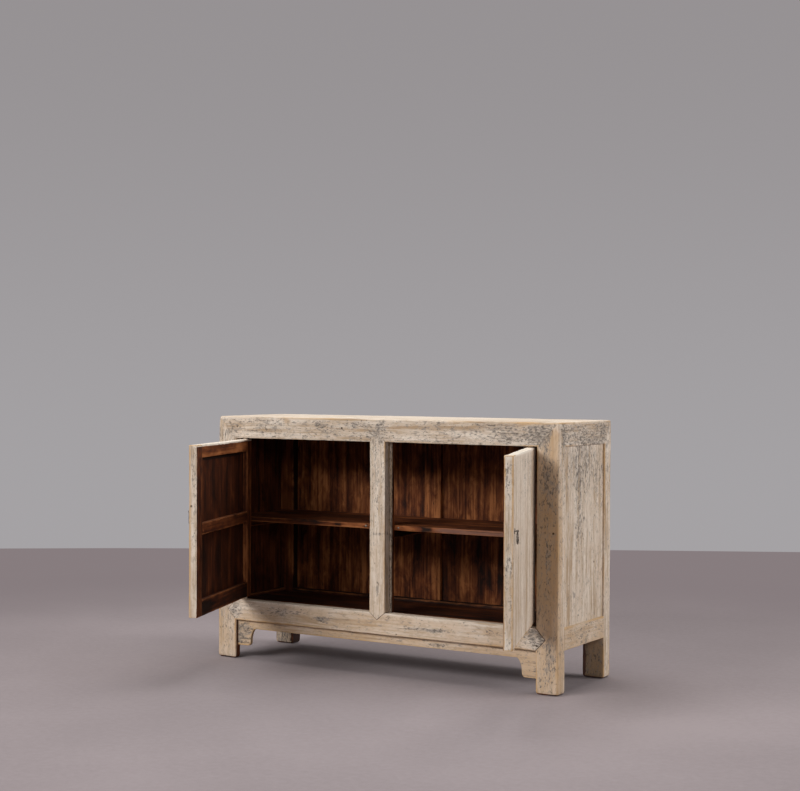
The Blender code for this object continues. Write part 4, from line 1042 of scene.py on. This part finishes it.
def makeDoor(side):
    hand = hands[side]
    pivot, closing = doorTurn(side)
    body = side + "_door"
    names = ("hinge_stile", "free_stile", "top_rail", "bottom_rail", "batten", "board_free_side")
    box = {name: shutBox(f"{body}_{name}", side) for name in names}
    base, head = box["bottom_rail"][0][2], box["top_rail"][1][2]
    sill, lintel = box["bottom_rail"][1][2], box["top_rail"][0][2]
    outer, inner = box["free_stile"][0][1], box["free_stile"][1][1]
    back = box["board_free_side"][1][1]
    window = sorted((box["hinge_stile"][(hand + 1) // 2][0], box["free_stile"][(1 - hand) // 2][0]))
    seam = (window[0] + window[1]) / 2
    hingeEdge = box["hinge_stile"][(1 - hand) // 2][0]
    origin = np.array((hingeEdge, outer, 0.0))
    marks = [((hand * place[0], *place[1:]), *rest) for place, *rest in doorMarks[side]]
    pegX = window[(1 + hand) // 2] - hand * doorSet["pegInset"]
    battenLow, battenHigh = box["batten"]
    pegZ = battenLow[2] + doorSet["pegRise"] * (battenHigh[2] - battenLow[2])
    # the bleached top edge, partly a painted highlight of the light from above, the rubbed peg, and a painted
    # shadow line under the top rail
    marks += [((hand * 0.28, 0.014, head), (0.6, 0.05, 0.008), -0.7, -1.2, 0.0),
              ((pegX - hingeEdge, inner - outer, pegZ), (0.005, 0.02, 0.005), 0.0, 0.0, 0.6),
              # a painted shadow line in the crease under the top rail, on the panel
              ((seam - hingeEdge, inner - outer, lintel - 0.004),
               ((window[1] - window[0]) / 2, 0.03, 0.005), 0.0, 0.0, -1.0, 4)]
    margin, topEdge = doorSet["margin"], head - doorSet["topEdge"]

    def inside(points):
        # stained on the inner face and within the frame, but for the top edge
        face = smooth(inner - points[..., 1], *doorSet["stain"])
        low = np.array((window[0] - margin, back - doorSet["panelDeep"], sill - margin))
        high = np.array((window[1] + margin, inner + margin, lintel + margin))
        depth = np.minimum(points - low, high - points).min(-1)
        below = smooth(points[..., 2], topEdge + doorSet["topEase"], topEdge)
        return np.maximum(face, smooth(depth, 0.0, doorSet["ease"])) * below

    def board(name, axis, low, high, extra=(), **shape):
        node = f"{body}_{name}"
        isRail = name.endswith("rail")
        parts = []
        for bar in (wornBar(axis, low, high, **shape), *extra):
            if isRail or name.startswith("board"):
                # outside, the boards' grain runs on over the rails
                front = bar["flat"][..., 1:2] < outer + doorSet["overlap"]
                local = np.roll(bar["local"], 1, -1) if isRail else bar["local"]
                local = local + grainPlace(body)[1] - grainPlace(node)[1]
                bar["local"] = np.where(front, local, bar["local"])
            values = shadeBar(node, bar, inside, marks, origin)
            parts.append(gridPart(turnZ(bar["points"], pivot, -closing), values))
        buildPiece(pieceName(node), parts, bleached, body, [node])

    pins = []
    r, reach, root = (doorSet[key] for key in ("pinRadius", "pinReach", "pinRoot"))
    for ends in ((base + root, sillZ - reach), (head - root, railZ + reach)):
        low, high = sorted(ends)
        profile = [(low + gap, r * share) for gap, share in doorSet["pinEnd"]]
        profile += [(high - gap, r * share) for gap, share in doorSet["pinEnd"][::-1]]
        pins.append(turnedBar(2, (pivot[0], pivot[1], 0), profile))
    edge, fold, hingeRound = (doorSet[key] for key in ("edgeArris", "innerArris", "hingeRound"))
    stile = {"rounds": (doorSet["endRound"], doorSet["endRound"])}
    low, high = box["hinge_stile"]
    board("hinge_stile", 2, (low[0], outer, base), (high[0], inner, head), pins, flush=[(hand, -1)],
          radii={(-hand, 1): hingeRound, (-hand, -1): hingeRound, (hand, 1): fold}, chip=0.5, **stile)
    low, high = box["free_stile"]
    board("free_stile", 2, (low[0], outer, base), (high[0], inner, head), flush=[(-hand, -1)],
          radii={(hand, 1): edge, (hand, -1): edge, (-hand, 1): fold},
          quiet=[(hand, 1)] if side == "left" else [], **stile)
    board("top_rail", 0, (window[0], outer, lintel), (window[1], inner, head), flush=[(-1, -1)],
          radii={(1, -1): fold, (1, 1): doorSet["topArris"], (-1, 1): edge}, quiet=[(1, 1), (-1, 1)])
    board("bottom_rail", 0, (window[0], outer, base), (window[1], inner, sill), flush=[(-1, 1)],
          radii={(1, 1): fold, (1, -1): edge, (-1, -1): edge})
    r = doorSet["pegRadius"]
    profile = [(rise, r * share) for rise, share in doorSet["pegHead"]]
    peg = turnedBar(1, (pegX, battenHigh[1], pegZ), profile, 16)
    board("batten", 0, (window[0], *battenLow[1:]), (window[1], *battenHigh[1:]), [peg], radii=evenly(fold))
    tuck = frameSet["tuck"]
    halves = [(window[0] - tuck, seam), (seam, window[1] + tuck)][::hand]
    for name, (first, last) in zip(("hinge_side", "free_side"), halves):
        board(f"board_{name}", 2, (first, outer, sill - tuck), (last, back, lintel + tuck), flush=allCorners)


pullSet = {
    "length": 0.036, "width": 0.013, "wire": 0.0013, "swell": 0.0009, "eye": 0.0031, "eyeWire": 0.0011,
    "shank": 0.0014, "plate": 0.008, "plateThick": 0.0015, "standOff": 0.009, "steps": 72, "twist": 24.0,
    "clear": 0.0003, "sunk": 0.0005,  # gap between plate and door, and how far the shank runs into the plate
    # the plate's front, from the middle out: depth from its face and share of its radius
    "dish": ((-0.001, 0.18), (-0.0008, 0.32), (-0.0001, 0.55), (0, 0.8), (0.0003, 0.95), (0.0009, 1)),
}


def makePull(side):
    # an oval ring, thicker towards its foot and turned a little in the round eye of a staple with a dished
    # plate
    p = pullSet
    pivot, closing = doorTurn(side)
    place = turnZ(np.array(jointNamed(side + "_pull_swing")["pos_m"]), pivot, closing)

    def hung(points, joined=False):
        return plainPart(turnZ(points, pivot, -closing), joined)

    turn = 2 * np.pi * np.arange(p["steps"]) / p["steps"]
    fall = (1 - np.cos(turn)) / 2
    c, s = math.cos(math.radians(p["twist"])), math.sin(math.radians(p["twist"]))
    wide = p["width"] / 2 * np.sin(turn)
    path = np.stack([c * wide, s * wide, -p["length"] * fall], -1) + place
    ring = sweptRing(path, p["wire"] + p["swell"] * fall, (-s, c, 0))
    body = side + "_pull"
    buildPiece(side + "PullDrop", [hung(ring, True)], iron, body, [body + "_drop"])

    path = np.stack([0 * turn, p["eye"] * np.cos(turn), p["eye"] * np.sin(turn)], -1) + place
    eye = sweptRing(path, np.full(turn.size, p["eyeWire"]), (1, 0, 0))
    seat = p["standOff"] - p["clear"]
    face = seat - p["plateThick"]
    r = p["shank"]
    shank = turnedBar(1, place, [(p["eye"], r * 0.3), (p["eye"], r), (face + p["sunk"], r)], 16)
    r = p["plate"]
    profile = [(face + depth, r * share) for depth, share in p["dish"]] + [(seat, r), (seat, r * 0.5)]
    plate = turnedBar(1, place, profile, 32)
    parts = [hung(eye, True), hung(shank["points"]), hung(plate["points"])]
    buildPiece(side + "PullStaple", parts, iron, side + "_door", [body + "_staple"])


for side in hands:
    makeDoor(side)
    makePull(side)
print("doors and pulls dressed")


# Floor, light and camera

cameraSet = {"place": (2.7538, -4.388, 0.9982), "yaw": 31.4573, "pitch": -0.6442, "roll": 0.2386,
             "lens": 70.4473, "sensor": 36.0}
floorSet = {"radius": 40.0, "behind": 3.96, "rings": 24, "around": 96, "colour": (0.332, 0.284, 0.29),
            "shade": (0.296, 0.253, 0.258), "far": (0.242, 0.203, 0.21), "farFrom": 1.2, "farTo": 3.2}


def glow(start, colour, strength=1.0, kind="ShaderNodeBackground"):
    return start.node(kind, {}, {"Color": (*colour, 1), "Strength": strength})


def backdropRays(start):
    # 1 for the rays that show the backdrop's own colour: the camera's, and those off gloss and through glass
    ray = start.node("ShaderNodeLightPath", {}, {}, "Is Camera Ray")
    mirrored = ray.maths("MAXIMUM", ray.pick("Is Glossy Ray"), ray.pick("Is Transmission Ray"))
    return ray.maths("MAXIMUM", ray, mirrored)


def makeFloor():
    # a flat disc: rings of points at growing radii, its far edge a few metres behind the sideboard; far from
    # the sideboard the camera sees the plain floor colour
    aside = math.radians(cameraSet["yaw"])
    away = floorSet["radius"] - floorSet["behind"]
    middle = np.array((math.sin(aside) * away, -math.cos(aside) * away, 0.0))
    rings, around = floorSet["rings"], floorSet["around"]
    reach = floorSet["radius"] * np.linspace(0.01, 1, rings)[:, None] ** 2
    turn = 2 * np.pi * np.arange(around) / around
    points = np.stack([reach * np.cos(turn), reach * np.sin(turn), 0 * reach * turn], -1)
    quads, fans = gridFaces(rings, around, False)
    points = np.concatenate([points.reshape(-1, 3), [(0, 0, 0)]]) + middle
    mesh = bpy.data.meshes.new("floor")
    mesh.from_pydata(points.tolist(), [], quads.tolist() + fans[:around].tolist())
    mesh.update()
    material, start = newMaterial("floorPaint")
    place = start.node("ShaderNodeTexCoord", {}, {}, "Object")
    cloud = place.cloud(1.3, 1.3, 4, 0.6)
    grit = place.cloud(160, 160, 2, 0.6)
    fleck = place.cloud(46, 46, 4, 0.7)
    colour = (0.55 * cloud + 0.45 * fleck).ramp([(0.4, floorSet["shade"]), (0.6, floorSet["colour"])])
    near = surface(start, colour, 0.75 + 0.1 * (cloud - 0.5), grit, 0.0005)
    away = start.node("ShaderNodeVectorMath", {"operation": "LENGTH"}, {0: place}, "Value")
    far = glow(start, floorSet["far"], kind="ShaderNodeEmission")
    share = backdropRays(start) * away.step(floorSet["farFrom"], floorSet["farTo"])
    start.node("ShaderNodeOutputMaterial", {}, {"Surface": share.choose(near, far)})
    mesh.materials.append(material)
    newObject("floor", mesh)


worldSet = {"ambient": (1.0, 0.84, 0.78), "ambientStrength": 0.032, "wallLow": (0.376, 0.362, 0.374),
            "wallHigh": (0.305, 0.286, 0.294), "wallSpan": (-0.1, 0.25)}


def makeWorld():
    # one weak plain light all round; the camera sees the backdrop's own colour, a little darker higher up
    world = bpy.data.worlds.new("studio")
    bpy.context.scene.world = world
    world.use_nodes = True
    world.node_tree.nodes.clear()
    start = Wire(world.node_tree)
    light = glow(start, worldSet["ambient"], worldSet["ambientStrength"])
    way = start.node("ShaderNodeTexCoord", {}, {}, "Generated")
    rise = start.node("ShaderNodeSeparateXYZ", {}, {0: way}, "Z").step(*worldSet["wallSpan"])
    shown = rise.choose(glow(start, worldSet["wallLow"]), glow(start, worldSet["wallHigh"]))
    start.node("ShaderNodeOutputWorld", {}, {"Surface": backdropRays(start).choose(light, shown)})


# place, what it looks at, width, height and power of each lamp
lampSet = {
    "key": ((-2.3, -6.2, 3.9), (0.0, 0.2, 0.45), 4.6, 2.2, 428),
    "fill": ((3.9, -4.6, 2.4), (0.3, 0.2, 0.45), 1.6, 1.6, 54),
    "side": ((4.5, 1.8, 2.1), (0.4, 0.25, 0.45), 3.2, 2.4, 134),
    "top": ((0.0, 0.7, 3.7), (0.0, 0.2, 0.45), 2.4, 2.4, 78),
    "left": ((-2.2, -0.3, 3.0), (-1.6, -0.3, 0.0), 1.5, 1.5, 16),
}


def aim(item, target):
    away = np.array(target, float) - np.array(item.location)
    flat = math.hypot(away[0], away[1])
    item.rotation_euler = (math.pi / 2 + math.atan2(away[2], flat), 0.0, math.atan2(-away[0], away[1]))


def makeLamps():
    for name, (place, target, width, height, power) in lampSet.items():
        data = bpy.data.lights.new(name, "AREA")
        data.shape = "RECTANGLE"
        data.size = width
        data.size_y = height
        data.energy = power
        lamp = newObject(name, data)
        lamp.location = place
        aim(lamp, target)


def makeCamera():
    data = bpy.data.cameras.new("camera")
    data.sensor_width = cameraSet["sensor"]
    data.lens = cameraSet["lens"]
    camera = newObject("camera", data)
    camera.location = cameraSet["place"]
    yaw, pitch, roll = (math.radians(cameraSet[key]) for key in ("yaw", "pitch", "roll"))
    turn = Matrix.Rotation(yaw, 3, "Z") @ Matrix.Rotation(math.pi / 2 + pitch, 3, "X")
    camera.rotation_euler = (turn @ Matrix.Rotation(roll, 3, "Z")).to_euler()
    bpy.context.scene.camera = camera


makeFloor()
makeWorld()
makeLamps()
makeCamera()
bpy.context.scene.view_settings.view_transform = "Standard"
print("studio set")
